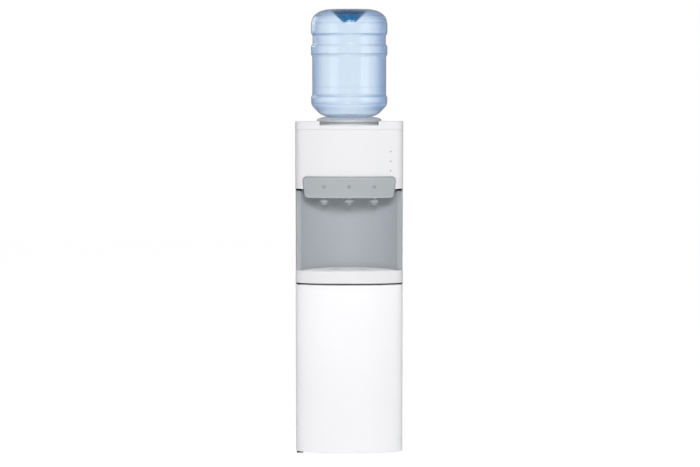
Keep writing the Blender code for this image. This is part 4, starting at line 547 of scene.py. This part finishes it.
def circuit_board():
    """Green board with paler tracks, dark parts where it stands proud"""
    f = Finish("circuit_board")
    proud_x = 0.0868
    track = f.cells(160, 'DISTANCE_TO_EDGE').below(0.08)
    parts = f.axes()[0].above(proud_x)
    board = f.blend(track, tone(18, 92, 52), tone(60, 140, 88))
    return f.set(Base_Color=f.blend(parts, board, tone(44, 44, 48)), Roughness=0.40 + track * 0.1,
                 Normal=f.bump(track, 0.2, 0.0001))


def light_guide():
    """Smoked clear plastic, grey where its tips show"""
    f = Finish("light_guide")
    slow = f.noise(90, 2)
    return f.set(Base_Color=f.blend(slow, tone(128, 130, 134), tone(150, 152, 156)), Roughness=0.15 + slow * 0.1)


def rocker(name, colour):
    """Glossy switch rocker"""
    return moulded(name, colour, 0.24, 0.03)


# The upper and ledge whites are darker copies of the door's white: painted shade on the top cover, upper panel and
# ledge
WHITE, UPPER_WHITE_PAINTED_SHADE = glossy_white("glossy_white", 247), glossy_white("upper_white_painted_shade", 233)
LEDGE_WHITE_PAINTED_SHADE = glossy_white("ledge_white_painted_shade", 231)
SHEET, GREY, HEAD, SEAT = painted_sheet(), alcove_grey(), head_grey(), seat_grey()
BLUE, CAP, BLACK, ENAMEL, RUBBER = blown_blue(), cap_blue(), black_moulding(), black_enamel(), soft_rubber()
ZINC, STEEL, COPPER, HOSE, FOAM = zinc_sheet(), stainless(), copper_tube(), silicone_hose(), rigid_foam()
BOARD, GUIDE = circuit_board(), light_guide()
TAP = tap_grey()
BUTTON = moulded("button_grey", tone(148, 154, 158), 0.34, 0.05)
TRAY = moulded("tray_grey", tone(240, 240, 245), 0.36, 0.06)
RED, GREEN = rocker("rocker_red", tone(178, 24, 22)), rocker("rocker_green", tone(24, 112, 60))

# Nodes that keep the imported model's shape
KEPT = {
    "side_panel_left": SHEET, "side_panel_right": SHEET, "back_panel": SHEET, "base": WHITE,
    "foot_front_left": RUBBER, "foot_front_right": RUBBER, "foot_rear_left": RUBBER, "foot_rear_right": RUBBER,
    "light_guide": GUIDE, "hinge_pin_upper": ENAMEL, "hinge_bracket_lower": ENAMEL, "cupboard_liner": WHITE,
    "magnet_catch": BLACK, "middle_shelf": ZINC, "tank_shelf": ZINC, "valve_rack": BLACK, "feed_probe": BLACK,
    "cold_tank": STEEL, "tank_baffle": WHITE, "foam_jacket": FOAM, "evaporator_coil": COPPER, "hot_tank": STEEL,
    "band_heater": ZINC, "thermostat": BLACK, "compressor": ENAMEL, "condenser": ENAMEL, "discharge_pipe": COPPER,
    "suction_pipe": COPPER, "capillary_line": COPPER, "ambient_pipe": HOSE, "cold_pipe": HOSE, "hot_pipe": HOSE,
    "hot_feed_pipe": HOSE, "drain_pipe": HOSE, "drain_cap": BLACK, "switch_frame": BLACK, "rocker_hot": RED,
    "rocker_cold": GREEN, "control_board": BOARD, "inlet_gland": RUBBER,
}
for node, finish in KEPT.items():
    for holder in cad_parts[node].material_slots:
        holder.material = finish


# Cabinet

def plain_box(name, low, high):
    """A cutter with square corners"""
    low, high = np.array(low), np.array(high)
    outline = np.array([(low[0], low[1]), (high[0], low[1]), (high[0], high[1]), (low[0], high[1])])
    return slab(name, outline, [(0, low[2]), (0, high[2])])


def top_cover():
    """A shallow pan with a rim. Every height over its base is squeezed towards it by rear share times fall share,
    so the rim falls from its crest at the front to the deck level at the back; a notch lets the seat show"""
    low, high = (corner.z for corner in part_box("top_cover"))
    base, rim, notch_half, hole_radius = low + 0.003, 0.004, 0.0845, 0.070
    pan_floor, above = DECK_Z - PAN_DEPTH, high + OVERRUN

    def plan(inset):
        half, back = HALF_WIDTH - inset, BACK_Y - inset
        corner = max(0.005 - inset, 0.0004)
        line = eased([(half, SIDE_Y), (half, back), (-half, back), (-half, SIDE_Y)], (corner, corner), 5, 0.0002)
        return np.vstack((curved_front(inset), line[1:-1]))

    cover = slab("top_cover_moulding", plan, edges(low, high, 0.0006, 0.0030, 7))
    for vertex in cover.data.vertices:
        if vertex.co.z > base:
            rear = (vertex.co.y - FRONT_Y) / (BACK_Y - FRONT_Y)
            vertex.co.z = base + (vertex.co.z - base) * (1 - rear * (high - DECK_Z) / (high - base))
    under = slab("under", plan(SHELL), [(0, low - OVERRUN), (0, pan_floor - SHELL)])
    pan = slab("pan", lambda inset: plan(rim + inset), edges(pan_floor, above, 0.0008, 0, 3))
    mouth = ring([(-notch_half, DECK_Z), (notch_half, DECK_Z), (notch_half, above), (-notch_half, above)],
                 (0.001, 0.001, 0, 0), 4, 0.0002)
    notch = slab("notch", mouth, [(0, FRONT_Y - 2 * OVERRUN), (0, SIDE_Y)], "y")
    through = (pan_floor - 2 * OVERRUN, pan_floor + 2 * OVERRUN)
    hole = turned("hole", [(0, through[0]), (hole_radius, through[0]), (hole_radius, through[1]), (0, through[1])],
                  (0, BOTTLE_Y))
    shape_with(cover, 'DIFFERENCE', under, pan, notch, hole)
    finished(cover, "cabinet", "white_shell", UPPER_WHITE_PAINTED_SHADE, "top_cover")


def head_outline(grow=0.0, steps=10):
    """The head from the front, anticlockwise: a trapezoid 266 mm wide at its top and 258 mm at its bottom, with
    12 mm round corners"""
    low, high = HEAD_LOW - grow, HEAD_HIGH + grow
    bottom, top, radius = 0.129 + grow, 0.133 + grow, 0.012 + grow
    parts = []
    for x, z, start in ((bottom, low, -1), (top, high, 0), (-top, high, 1), (-bottom, low, 2)):
        centre = np.array((x - np.sign(x) * radius, z + (radius if z == low else -radius)))
        angle = (start + np.linspace(0, 1, steps + 1)) * np.pi / 2
        parts.append(centre + radius * np.column_stack((np.cos(angle), np.sin(angle))))
    runs = []
    for part, following, count in zip(parts, parts[1:] + parts[:1], (9, 64, 9, 64)):
        between = np.linspace(0, 1, count + 1)[1:-1, None]
        runs += [part, part[-1] * (1 - between) + following[0] * between]
    return np.vstack(runs)


def upper_panel():
    """A curved shell with a window for the head and three holes for the light guide's tips"""
    low, high = (corner.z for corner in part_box("upper_panel"))

    def plan(inset):
        return np.vstack((curved_front(inset), curved_front(SHELL - inset)[::-1]))

    panel = slab("upper_front_panel", plan, edges(low, high, 0.0009, 0.0006, 4, 0.0002))
    window = slab("window", head_outline(CLEARANCE), [(0, FRONT_Y - 2 * OVERRUN), (0, SIDE_Y + OVERRUN)], "y")
    shape_with(panel, 'DIFFERENCE', window)
    x, pitch, radius, front, rear = 0.1187, 0.0275, 0.0018, -0.16, -0.11
    middle = (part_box("light_guide")[0].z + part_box("light_guide")[1].z) / 2
    holes = [turned("guide_hole", [(0, front), (radius, front), (radius, rear), (0, rear)],
                    (x, middle + i * pitch), 24, "y") for i in (-1, 0, 1)]
    finished(shape_with(panel, 'DIFFERENCE', *holes), "cabinet", "white_shell", UPPER_WHITE_PAINTED_SHADE, "upper_panel")


def alcove():
    """A thin wall on an arc with eased front edges; notched for the head, with a dark gap under the panel"""
    low, high = (corner.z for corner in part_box("alcove_moulding"))
    ease, outer, inner, wall_depth, gap_height, gap_depth = 0.0012, 0.1535, 0.1475, 0.003, 0.0065, 0.007
    whole = curved_front(ALCOVE_SETBACK)
    left, right = whole[whole[:, 0] < -ALCOVE_HALF - ease], whole[whole[:, 0] > ALCOVE_HALF + ease]
    wall = alcove_line(ALCOVE_HALF)[::-1]
    lip = eased([tuple(left[-1]), tuple(wall[0]), tuple(wall[3])], (ease,), 5, 0.0002)
    outline = np.vstack((left, lip[1:-1], wall[3:-3], (lip[1:-1] * (-1, 1))[::-1], right,
                         [(outer, ALCOVE_REAR_Y), (inner, ALCOVE_REAR_Y)], alcove_line(inner, -wall_depth),
                         [(-inner, ALCOVE_REAR_Y), (-outer, ALCOVE_REAR_Y)]))
    piece = slab("alcove_surround", outline, [(0, low), (0, high)])
    gap = plain_box("shadow_gap", (-0.16, FRONT_Y - OVERRUN, high - gap_height),
                    (0.16, SIDE_Y + gap_depth, high + OVERRUN))
    notch = slab("head_notch", head_outline(CLEARANCE), [(0, FRONT_Y - 2 * OVERRUN), (0, -0.05)], "y")
    finished(shape_with(piece, 'DIFFERENCE', gap, notch), "cabinet", "grey_shell", GREY, "alcove_moulding")


def tray_outline(inset, half, rear, steps=60):
    """The tray's plan: the curved front between two sides, closed by the curved wall, nearer the mouth by rear"""
    x = np.linspace(-half, half, steps + 1)
    return np.vstack((np.column_stack((x, panel_front(x, inset))), alcove_line(half, rear)))


def ledge():
    """A block with the curved front and a pocket for the drip tray"""
    low, high = (corner.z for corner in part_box("ledge"))
    half, pocket_front, pocket_half = 0.1534, 0.004, 0.1332
    tail = np.array([(half, SIDE_Y), (half, ALCOVE_REAR_Y), (-half, ALCOVE_REAR_Y), (-half, SIDE_Y)])
    piece = slab("ledge_moulding", lambda inset: np.vstack((curved_front(inset), tail)),
                 edges(low, high, 0.0016, 0.0028, 6))
    pocket = slab("pocket", tray_outline(pocket_front, pocket_half, 0), [(0, low + SHELL), (0, high + OVERRUN)])
    finished(shape_with(piece, 'DIFFERENCE', pocket), "cabinet", "white_shell", LEDGE_WHITE_PAINTED_SHADE, "ledge")


def tray_and_grille():
    """The tray, and the grille over it, with five rows of slots that shorten towards the curved wall"""
    half, front, rear, wall, step = 0.1307, 0.0065, 0.0025, 0.0036, 0.0026

    def plan(inset):
        return tray_outline(front + inset, half - inset, rear + inset)

    low, high = (corner.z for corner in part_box("drip_tray"))
    tray = slab("drip_tray_moulding", plan, edges(low, high, 0.0012, 0.0005, 4))
    hollow = slab("hollow", lambda inset: plan(wall + inset), edges(low + SHELL, high + OVERRUN, 0.002, 0.0, 4))
    finished(shape_with(tray, 'DIFFERENCE', hollow), "tray", "head_shell", TRAY, "drip_tray")
    low, high = (corner.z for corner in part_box("tray_grille"))
    grille = slab("drip_grille", lambda inset: plan(step + inset), edges(low, high, 0.0004, 0.001, 4))
    margin, rear_margin, rib, width = 0.012, 0.0265, 0.010, 0.005
    side, limit = half - margin, alcove_radius() - rear - margin
    cutters = []
    for y in np.linspace(float(panel_front(side, front)) + margin, ALCOVE_BACK_Y - rear_margin, 5):
        reach = min(side, np.sqrt(limit**2 - (y + width / 2 - ALCOVE_BACK_Y + alcove_radius()) ** 2))
        length = (2 * reach - 2 * rib) / 3
        for column in range(3):
            slot = capsule(length, width)[:, ::-1] * (-1, 1) + (column * (length + rib) - reach + length / 2, y)
            cutters.append(slab("slot", slot, [(0, low - OVERRUN), (0, high + OVERRUN)]))
    finished(shape_with(grille, 'DIFFERENCE', *cutters), "grille", "head_shell", TRAY, "tray_grille")


def door():
    """A curved shell, open to the rear, with a hole for the hinge pins"""
    low, high = (corner.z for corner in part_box("cupboard_door"))
    rear, wall, pin_radius, hinge = -0.125, 0.003, 0.0023, (-0.145, -0.130)
    piece = slab("door_moulding", lambda inset: curved_front(inset, rear), edges(low, high, 0.0016, 0.0022, 6))
    inner = curved_front(wall, rear)
    mouth = np.vstack((inner, [(inner[-1][0], rear + OVERRUN), (inner[0][0], rear + OVERRUN)]))
    hollow = slab("hollow", mouth, edges(low + wall, high - wall, 0.001, 0.001, 3))
    pin = turned("pin_hole", [(0, low - OVERRUN), (pin_radius, low - OVERRUN), (pin_radius, high + OVERRUN),
                              (0, high + OVERRUN)], hinge, 32)
    finished(shape_with(piece, 'DIFFERENCE', hollow, pin), "door", "white_shell", WHITE, "cupboard_door")


def door_gap_painted_shade():
    """A black strip behind the door's upper edge that paints the shade in the gap there: its front edges rounded, as
    wide as the cupboard's front
    """
    half, front, rear, low, high = 0.1530, -0.1243, -0.1172, 0.5014, 0.5056
    outline = ring([(-half, front), (half, front), (half, rear), (-half, rear)],
                   (0.0012, 0.0012, 0.0005, 0.0005), 4, 0.0002)
    strip = slab("door_gap_painted_shade", outline, edges(low, high, 0.0004, 0.0004, 3, 0.0002))
    finished(strip, "cabinet", "rubber", RUBBER)


# Head, buttons and taps

def head():
    """Rings of the head's outline: each has an inset, and a depth behind the curved front or a fixed y at the rear"""
    ease, hold, back = 0.0032, 0.0008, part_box("head_cover")[1].y
    shrink = np.linspace(0, 1, 28)[:-1] ** 0.85
    turn = np.linspace(0, np.pi / 2, 7)
    outline = head_outline()
    rings = []

    def add(shape, y):
        rings.append(np.stack((shape[:, 0], y, shape[:, 1]), -1))

    middle = np.array((0.0, outline[:, 1].mean()))
    face = inset_ring(outline, ease + hold)
    for share in shrink:
        shape = middle + (face - middle) * share
        add(shape, panel_front(shape[:, 0], 0, HEAD_REACH))
    for angle in turn:
        shape = inset_ring(outline, ease * (1 - np.sin(angle)))
        add(shape, panel_front(shape[:, 0], 0, HEAD_REACH) + ease * (1 - np.cos(angle)))
    add(outline, panel_front(outline[:, 0], 0, HEAD_REACH) + ease + hold)
    inside = inset_ring(outline, SHELL)
    for shape, y in ((outline, back - 0.0006), (outline, back), (inside, back), (inside, back - 0.0006)):
        add(shape, np.full(len(shape), y))
    for share in shrink[::-1]:
        shape = middle + (inside - middle) * share
        add(shape, panel_front(shape[:, 0], SHELL, HEAD_REACH))
    points = np.stack(rings)
    piece = make_mesh("head_moulding", points, grid_faces(len(rings), len(outline)))
    cutters = []
    for name in ("hot", "ambient", "cold"):
        low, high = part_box(f"button_{name}")
        x, z = (low.x + high.x) / 2, (low.z + high.z) / 2
        for kind, radius, start, end, centre, steps, along in (
                ("button_hole", 0.0055, low.y - OVERRUN, low.y + 0.012, (x, z), 48, "y"),
                ("tap_hole", 0.0073, HEAD_LOW - OVERRUN, HEAD_LOW + 0.004, (x, TAP_Y), 40, "z")):
            cutters.append(turned(kind, [(0, start), (radius, start), (radius, end), (0, end)], centre, steps, along))
    finished(shape_with(piece, 'DIFFERENCE', *cutters), "cabinet", "head_shell", HEAD, "head_cover")


def flange_y(x):
    """y of a button's flange, behind the head's wall"""
    return float(panel_front(abs(x) + FLANGE_RADIUS, SHELL, HEAD_REACH)) + FIT


def buttons():
    """Each cap is turned: a shallow dish in its face, an eased rim, a flange and a stem"""
    cap, stem = 0.0052, 0.0022
    radii = (0.002, 0.0006, 0.0006, 0, 0.0003, 0.0003, 0, 0.0005)
    for name in ("hot", "ambient", "cold"):
        low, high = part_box(f"button_{name}")
        centre = ((low.x + high.x) / 2, (low.z + high.z) / 2)
        flange = flange_y(centre[0]) - low.y
        back, end = flange + 0.002, high.y - low.y
        profile = eased([(0, 0.0007), (0.0032, 0.0005), (0.0046, 0.0), (cap, 0.0), (cap, flange),
                         (FLANGE_RADIUS, flange), (FLANGE_RADIUS, back), (stem, back), (stem, end), (0, end)],
                        radii, 4, 0.0001)
        piece = turned(f"button_cap_{name}", profile, centre, 48, "y", low.y)
        finished(piece, f"button_{name}", "head_shell", BUTTON, f"button_{name}")


def springs():
    """A coil of four turns: a round wire on a helix, from the rack to the flange"""
    radius, wire, turns, steps, corners = 0.0042, 0.0004, 4, 24, 8
    for name in ("hot", "ambient", "cold"):
        low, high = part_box(f"button_spring_{name}")
        x, z = (low.x + high.x) / 2, (low.z + high.z) / 2
        front, rear = low.y + wire, high.y - wire
        share = np.linspace(0, 1, turns * steps + 1)
        angle = share * turns * TAU
        out = np.column_stack((np.cos(angle), 0 * angle, np.sin(angle)))
        path = np.array((x, front, z)) + radius * out + np.outer(share, (0, rear - front, 0))
        along = np.gradient(path, axis=0)
        along /= np.linalg.norm(along, axis=1)[:, None]
        side = np.cross(along, out)
        around = (np.arange(corners) / corners * TAU)[:, None]
        points = path[:, None] + wire * (out[:, None] * np.cos(around) + side[:, None] * np.sin(around))
        last = turns * steps * corners
        caps = [range(corners), range(last, last + corners)]
        item = make_mesh(f"button_coil_{name}", points, grid_faces(len(path), corners), caps)
        item.data.materials.append(STEEL)
        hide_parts(f"button_spring_{name}")
        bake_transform(item)


def taps():
    """Each tap is turned: a round spout with a rolled lip, a collar disc with eased rims, a stem, the body above"""
    bore, spout, disc, stem, body, neck = 0.004, 0.009, 0.0122, 0.007, 0.010, 0.0055
    disc_top, shelf, body_top = HEAD_LOW - 0.0078, HEAD_LOW + 0.0056, HEAD_LOW + 0.0186
    radii = (0.0006, 0.0012, 0.0008, 0.0016, 0.0016, 0.0006, 0, 0.0008, 0.0012, 0.0006, 0.0004, 0.0004)
    for name in ("hot", "ambient", "cold"):
        low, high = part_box(f"tap_{name}")
        x = (low.x + high.x) / 2
        profile = ring([(bore, low.z), (spout, low.z), (spout + 0.0004, TAP_DISC), (disc, TAP_DISC), (disc, disc_top),
                        (stem, disc_top), (stem, shelf), (body, shelf), (body, body_top), (neck, body_top),
                        (neck, high.z), (bore, high.z)], radii, 5, 0.0002)
        finished(turned(f"tap_spout_{name}", profile, (x, TAP_Y), 64), "cabinet", "head_shell", TAP, f"tap_{name}")


# Bottle and its seat

def bottle_seat():
    """Turned ring profile: outer skirt, thick rounded rim, raised ring up to the lip, funnel and cup, back under"""
    low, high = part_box("bottle_seat")
    deck, lip, rim, floor = DECK_Z - PAN_DEPTH + FIT, high.z, SEAT_RIM_Z, low.z + SHELL
    hole, shoulder = 0.0088, high.z - 0.0008
    outline = [(hole, low.z), (0.0365, low.z), (0.0365, lip - 0.022), (0.0385, lip - 0.016), (0.064, lip - 0.004),
               (0.0775, shoulder - SHELL), (0.083, rim - SHELL), (0.083, deck), (0.0855, deck), (0.0855, rim - 0.008),
               (0.0945, rim - 0.0065), (0.0945, rim), (0.080, shoulder), (0.064, lip), (0.036, lip - 0.016),
               (0.034, lip - 0.022), (0.034, floor), (hole, floor)]
    radii = (0.0003, 0.002, 0.002, 0.002, 0.001, 0.003, 0.001, 0.0006, 0.0008, 0.002, 0.0020, 0.0035, 0.006, 0.002,
             0.003, 0.003, 0.001, 0.0003)
    collar = turned("bottle_collar", ring(outline, radii, 6, 0.0004), (0, BOTTLE_Y), 128)
    finished(collar, "cabinet", "seat_shell", SEAT, "bottle_seat")


def bottle():
    """Turned wall of 1.5 mm: its outer line runs from the hollow base, at the top, down to the mouth, and its inner
    line is the same one moved inwards; shares are of the body's radius and height"""
    wall, neck = 0.0015, 0.0265
    shares = ((0.165, 0.884), (0.480, 0.996), (0.560, 1.000), (0.690, 0.990), (0.795, 0.976), (0.885, 0.953),
              (0.952, 0.927), (0.987, 0.892), (1.000, 0.856), (1.000, 0.770), (0.960, 0.756), (0.960, 0.670),
              (1.000, 0.657), (1.000, 0.573), (0.970, 0.560), (0.970, 0.191), (1.000, 0.180), (1.000, 0.126),
              (0.985, 0.102), (0.953, 0.083), (0.866, 0.050), (0.774, 0.016))
    line = [(0, BOTTLE_FOOT_Z + 0.879 * BOTTLE_BODY)]
    line += [(r * BOTTLE_RADIUS, BOTTLE_FOOT_Z + h * BOTTLE_BODY) for r, h in shares]
    line += [(0.075, BOTTLE_FOOT_Z), (neck, BOTTLE_NECK_Z), (neck, BOTTLE_MOUTH_Z)]
    radii = [0.004, 0.004, 0.005, 0.006, 0.006, 0.006, 0.006, 0.006, 0.010, 0.0035, 0.0035, 0.0035, 0.0035, 0.0030,
             0.0030, 0.0030, 0.0025, 0.006, 0.004, 0.005, 0.008, 0.006, 0.005, 0.006]
    outer = eased(line, radii, 7, 0.001)
    ahead = np.gradient(outer, axis=0)
    ahead /= np.linalg.norm(ahead, axis=1)[:, None]
    inner = outer + wall * np.column_stack((ahead[:, 1], -ahead[:, 0]))
    inner[:, 0] = np.maximum(inner[:, 0], 0)
    inner[0, 0] = 0
    inner[-1] = (neck - wall, BOTTLE_MOUTH_Z)
    keep = np.ones(len(inner), bool)
    keep[1:] = inner[1:, 0] > 0.0001
    profile = np.vstack((outer, inner[keep][::-1]))
    finished(turned("bottle_wall", profile, (0, BOTTLE_Y), 160), "bottle", "bottle_blue", BLUE, "bottle")
    low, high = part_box("bottle_cap")
    hole, bore, outside, plate = 0.0105, neck + FIT, neck + FIT + 0.0026, low.z + 0.003
    outline = ring([(hole, low.z), (outside, low.z), (outside, high.z), (bore, high.z), (bore, plate), (hole, plate)],
                   (0.0005, 0.0015, 0.0008, 0.0005, 0, 0.0005), 4, 0.0003)
    finished(turned("bottle_lid", outline, (0, BOTTLE_Y), 96), "bottle", "cap_blue", CAP, "bottle_cap")


# Rear

def condenser_wires():
    """Straight wires on both sides of the serpentine tube, each a six-sided rod: those in front of it stay clear of
    the two stand-offs, and those behind it are flush with its rear"""
    low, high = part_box("condenser")
    radius, tube, pitch, reach, corners = 0.0007, 0.0025, 0.0066, 0.006, 6
    standoff_x, standoff_room = 0.070, 0.0078
    middle = high.y - tube
    x = np.arange(-17, 18) * pitch
    angle = np.arange(corners) / corners * TAU
    circle = np.stack((radius * np.cos(angle), radius * np.sin(angle)), -1)
    points, quads, caps = [], [], []
    for side in (-1, 1):
        for across in x:
            if side < 0 and abs(abs(across) - standoff_x) < standoff_room:
                continue
            y = middle - tube - radius if side < 0 else middle + tube - radius
            start, end = len(points) * 2 * corners, (len(points) + 1) * 2 * corners
            rod = np.array([[(across + u, y + v, z) for u, v in circle] for z in (low.z - reach, high.z + reach)])
            points.append(rod.reshape(-1, 3))
            quads.append(grid_faces(2, corners) + start)
            caps += [range(start, start + corners), range(start + corners, end)]
    item = make_mesh("condenser_wires", np.vstack(points), np.vstack(quads), caps)
    finished(item, "cabinet", "black_paint", ENAMEL)


def screws():
    """Pan heads on a polar grid: height = dome(r), less a depth inside a cross of 0.5 mm half width"""
    radius, rise, cross_half, cross_reach, cross_depth, steps = 0.0038, 0.0021, 0.0005, 0.0024, 0.0011, 48
    share = np.linspace(1, 0, 9)[:, None]
    angle = np.arange(steps) / steps * TAU
    r = radius * share + 0 * angle
    u, v = r * np.cos(angle), r * np.sin(angle)
    cross = (np.minimum(np.abs(u), np.abs(v)) < cross_half) & (r < cross_reach)
    height = rise * np.sqrt(1 - (0.92 * share) ** 2) - cross_depth * cross
    places = [(side * 0.147, z) for side in (-1, 1) for z in (0.030, 0.250, 0.480, 0.700, 0.925)]
    for number, (x, z) in enumerate(places):
        base = np.stack((x + radius * np.cos(angle), BACK_Y + 0 * angle, z + radius * np.sin(angle)), -1)
        cap = np.stack((x + u, BACK_Y + height, z + v), -1)
        points = np.concatenate((base[None], cap))
        item = make_mesh(f"panel_screw_{number + 1}", points, grid_faces(len(points), steps), [range(steps)])
        finished(item, "cabinet", "stainless", STEEL)


top_cover()
upper_panel()
alcove()
ledge()
tray_and_grille()
door()
door_gap_painted_shade()
head()
buttons()
springs()
taps()
bottle_seat()
bottle()
condenser_wires()
screws()


# Studio

def background(maker):
    """1 where the white background shows: straight to the camera and through clear pieces; a part of it in gloss"""
    path = maker.tree.nodes.new("ShaderNodeLightPath")
    seen = [Wire(maker, path.outputs[name]) for name in ("Is Camera Ray", "Is Glossy Ray", "Is Transmission Ray")]
    return seen[0].larger(seen[1] * 0.35).larger(seen[2])


def floor():
    """A pale floor that reads as white and keeps the object's shadow"""
    half = 6
    f = Finish("pale_floor")
    speck = f.noise(3, 2)
    f.set(Base_Color=f.blend(speck, (0.80, 0.80, 0.81), (0.82, 0.82, 0.83)), Roughness=0.75)
    glow = f.node("ShaderNodeEmission", {}, {"Color": (1.0, 1.0, 1.0), "Strength": 1.15})
    mixed = f.node("ShaderNodeMixShader", {}, {0: background(f) * 0.85, 1: Wire(f, f.shader.outputs[0]), 2: glow})
    f.tree.links.new(mixed.socket, f.end.inputs["Surface"])
    points = [(-half, -half, 0), (half, -half, 0), (half, half, 0), (-half, half, 0)]
    data = bpy.data.meshes.new("studio_floor")
    data.from_pydata(points, [], [(0, 1, 2, 3)])
    item = bpy.data.objects.new("studio_floor", data)
    bpy.context.scene.collection.objects.link(item)
    data.materials.append(f.material)


class Surroundings(Finish):
    """The world's nodes, built with the same helpers as a material's"""

    def __init__(self, world):
        self.tree = world.node_tree


def surroundings():
    world = bpy.data.worlds.new("studio")
    bpy.context.scene.world = world
    world.use_nodes = True
    maker = Surroundings(world)
    glow = world.node_tree.nodes["Background"]
    glow.inputs["Color"].default_value = (1, 1, 1, 1)
    show = background(maker)
    maker.feed(glow.inputs["Strength"], show + (1 - show) * 0.06)


def lamp(name, place, aim, size, power):
    light = bpy.data.lights.new(name, 'AREA')
    light.shape = 'RECTANGLE'
    light.size, light.size_y = size
    light.energy = power
    item = bpy.data.objects.new(name, light)
    item.location = place
    item.rotation_euler = (Vector(aim) - Vector(place)).to_track_quat('-Z', 'Y').to_euler()
    bpy.context.scene.collection.objects.link(item)


def camera():
    """A long lens in front of the curved front, about as high as the middle of the bottle and tipped down"""
    sensor, focal, far = 36, 90.27, 50
    offset, distance, height, tip = 0.0023, 5.0, 1.16, 5.807
    lens = bpy.data.cameras.new("camera")
    lens.sensor_width, lens.lens, lens.clip_end = sensor, focal, far
    item = bpy.data.objects.new("camera", lens)
    item.location = (offset, FRONT_Y - distance, height)
    item.rotation_euler = (np.radians(90 - tip), 0, 0)
    bpy.context.scene.collection.objects.link(item)
    bpy.context.scene.camera = item


floor()
surroundings()
lamp("top_light", (0.2, -0.6, 3.2), (0, 0, 0.8), (2.2, 1.8), 5)
lamp("key_light", (0.25, -4.8, 2.9), (0, 0, 0.7), (1.8, 1.2), 153)
lamp("low_fill", (-0.2, -2.6, 0.12), (0, 0, 0.2), (1.6, 0.3), 6)
lamp("left_fill", (-3.0, -2.6, 1.3), (0, 0, 0.7), (2.0, 1.6), 20)
lamp("right_fill", (3.0, -2.6, 1.3), (0, 0, 0.7), (2.0, 1.6), 23)
lamp("rear_light", (-2.6, 2.8, 2.0), (0, 0, 0.6), (2.0, 1.6), 20)
camera()

bpy.context.scene.view_settings.view_transform = 'Standard'
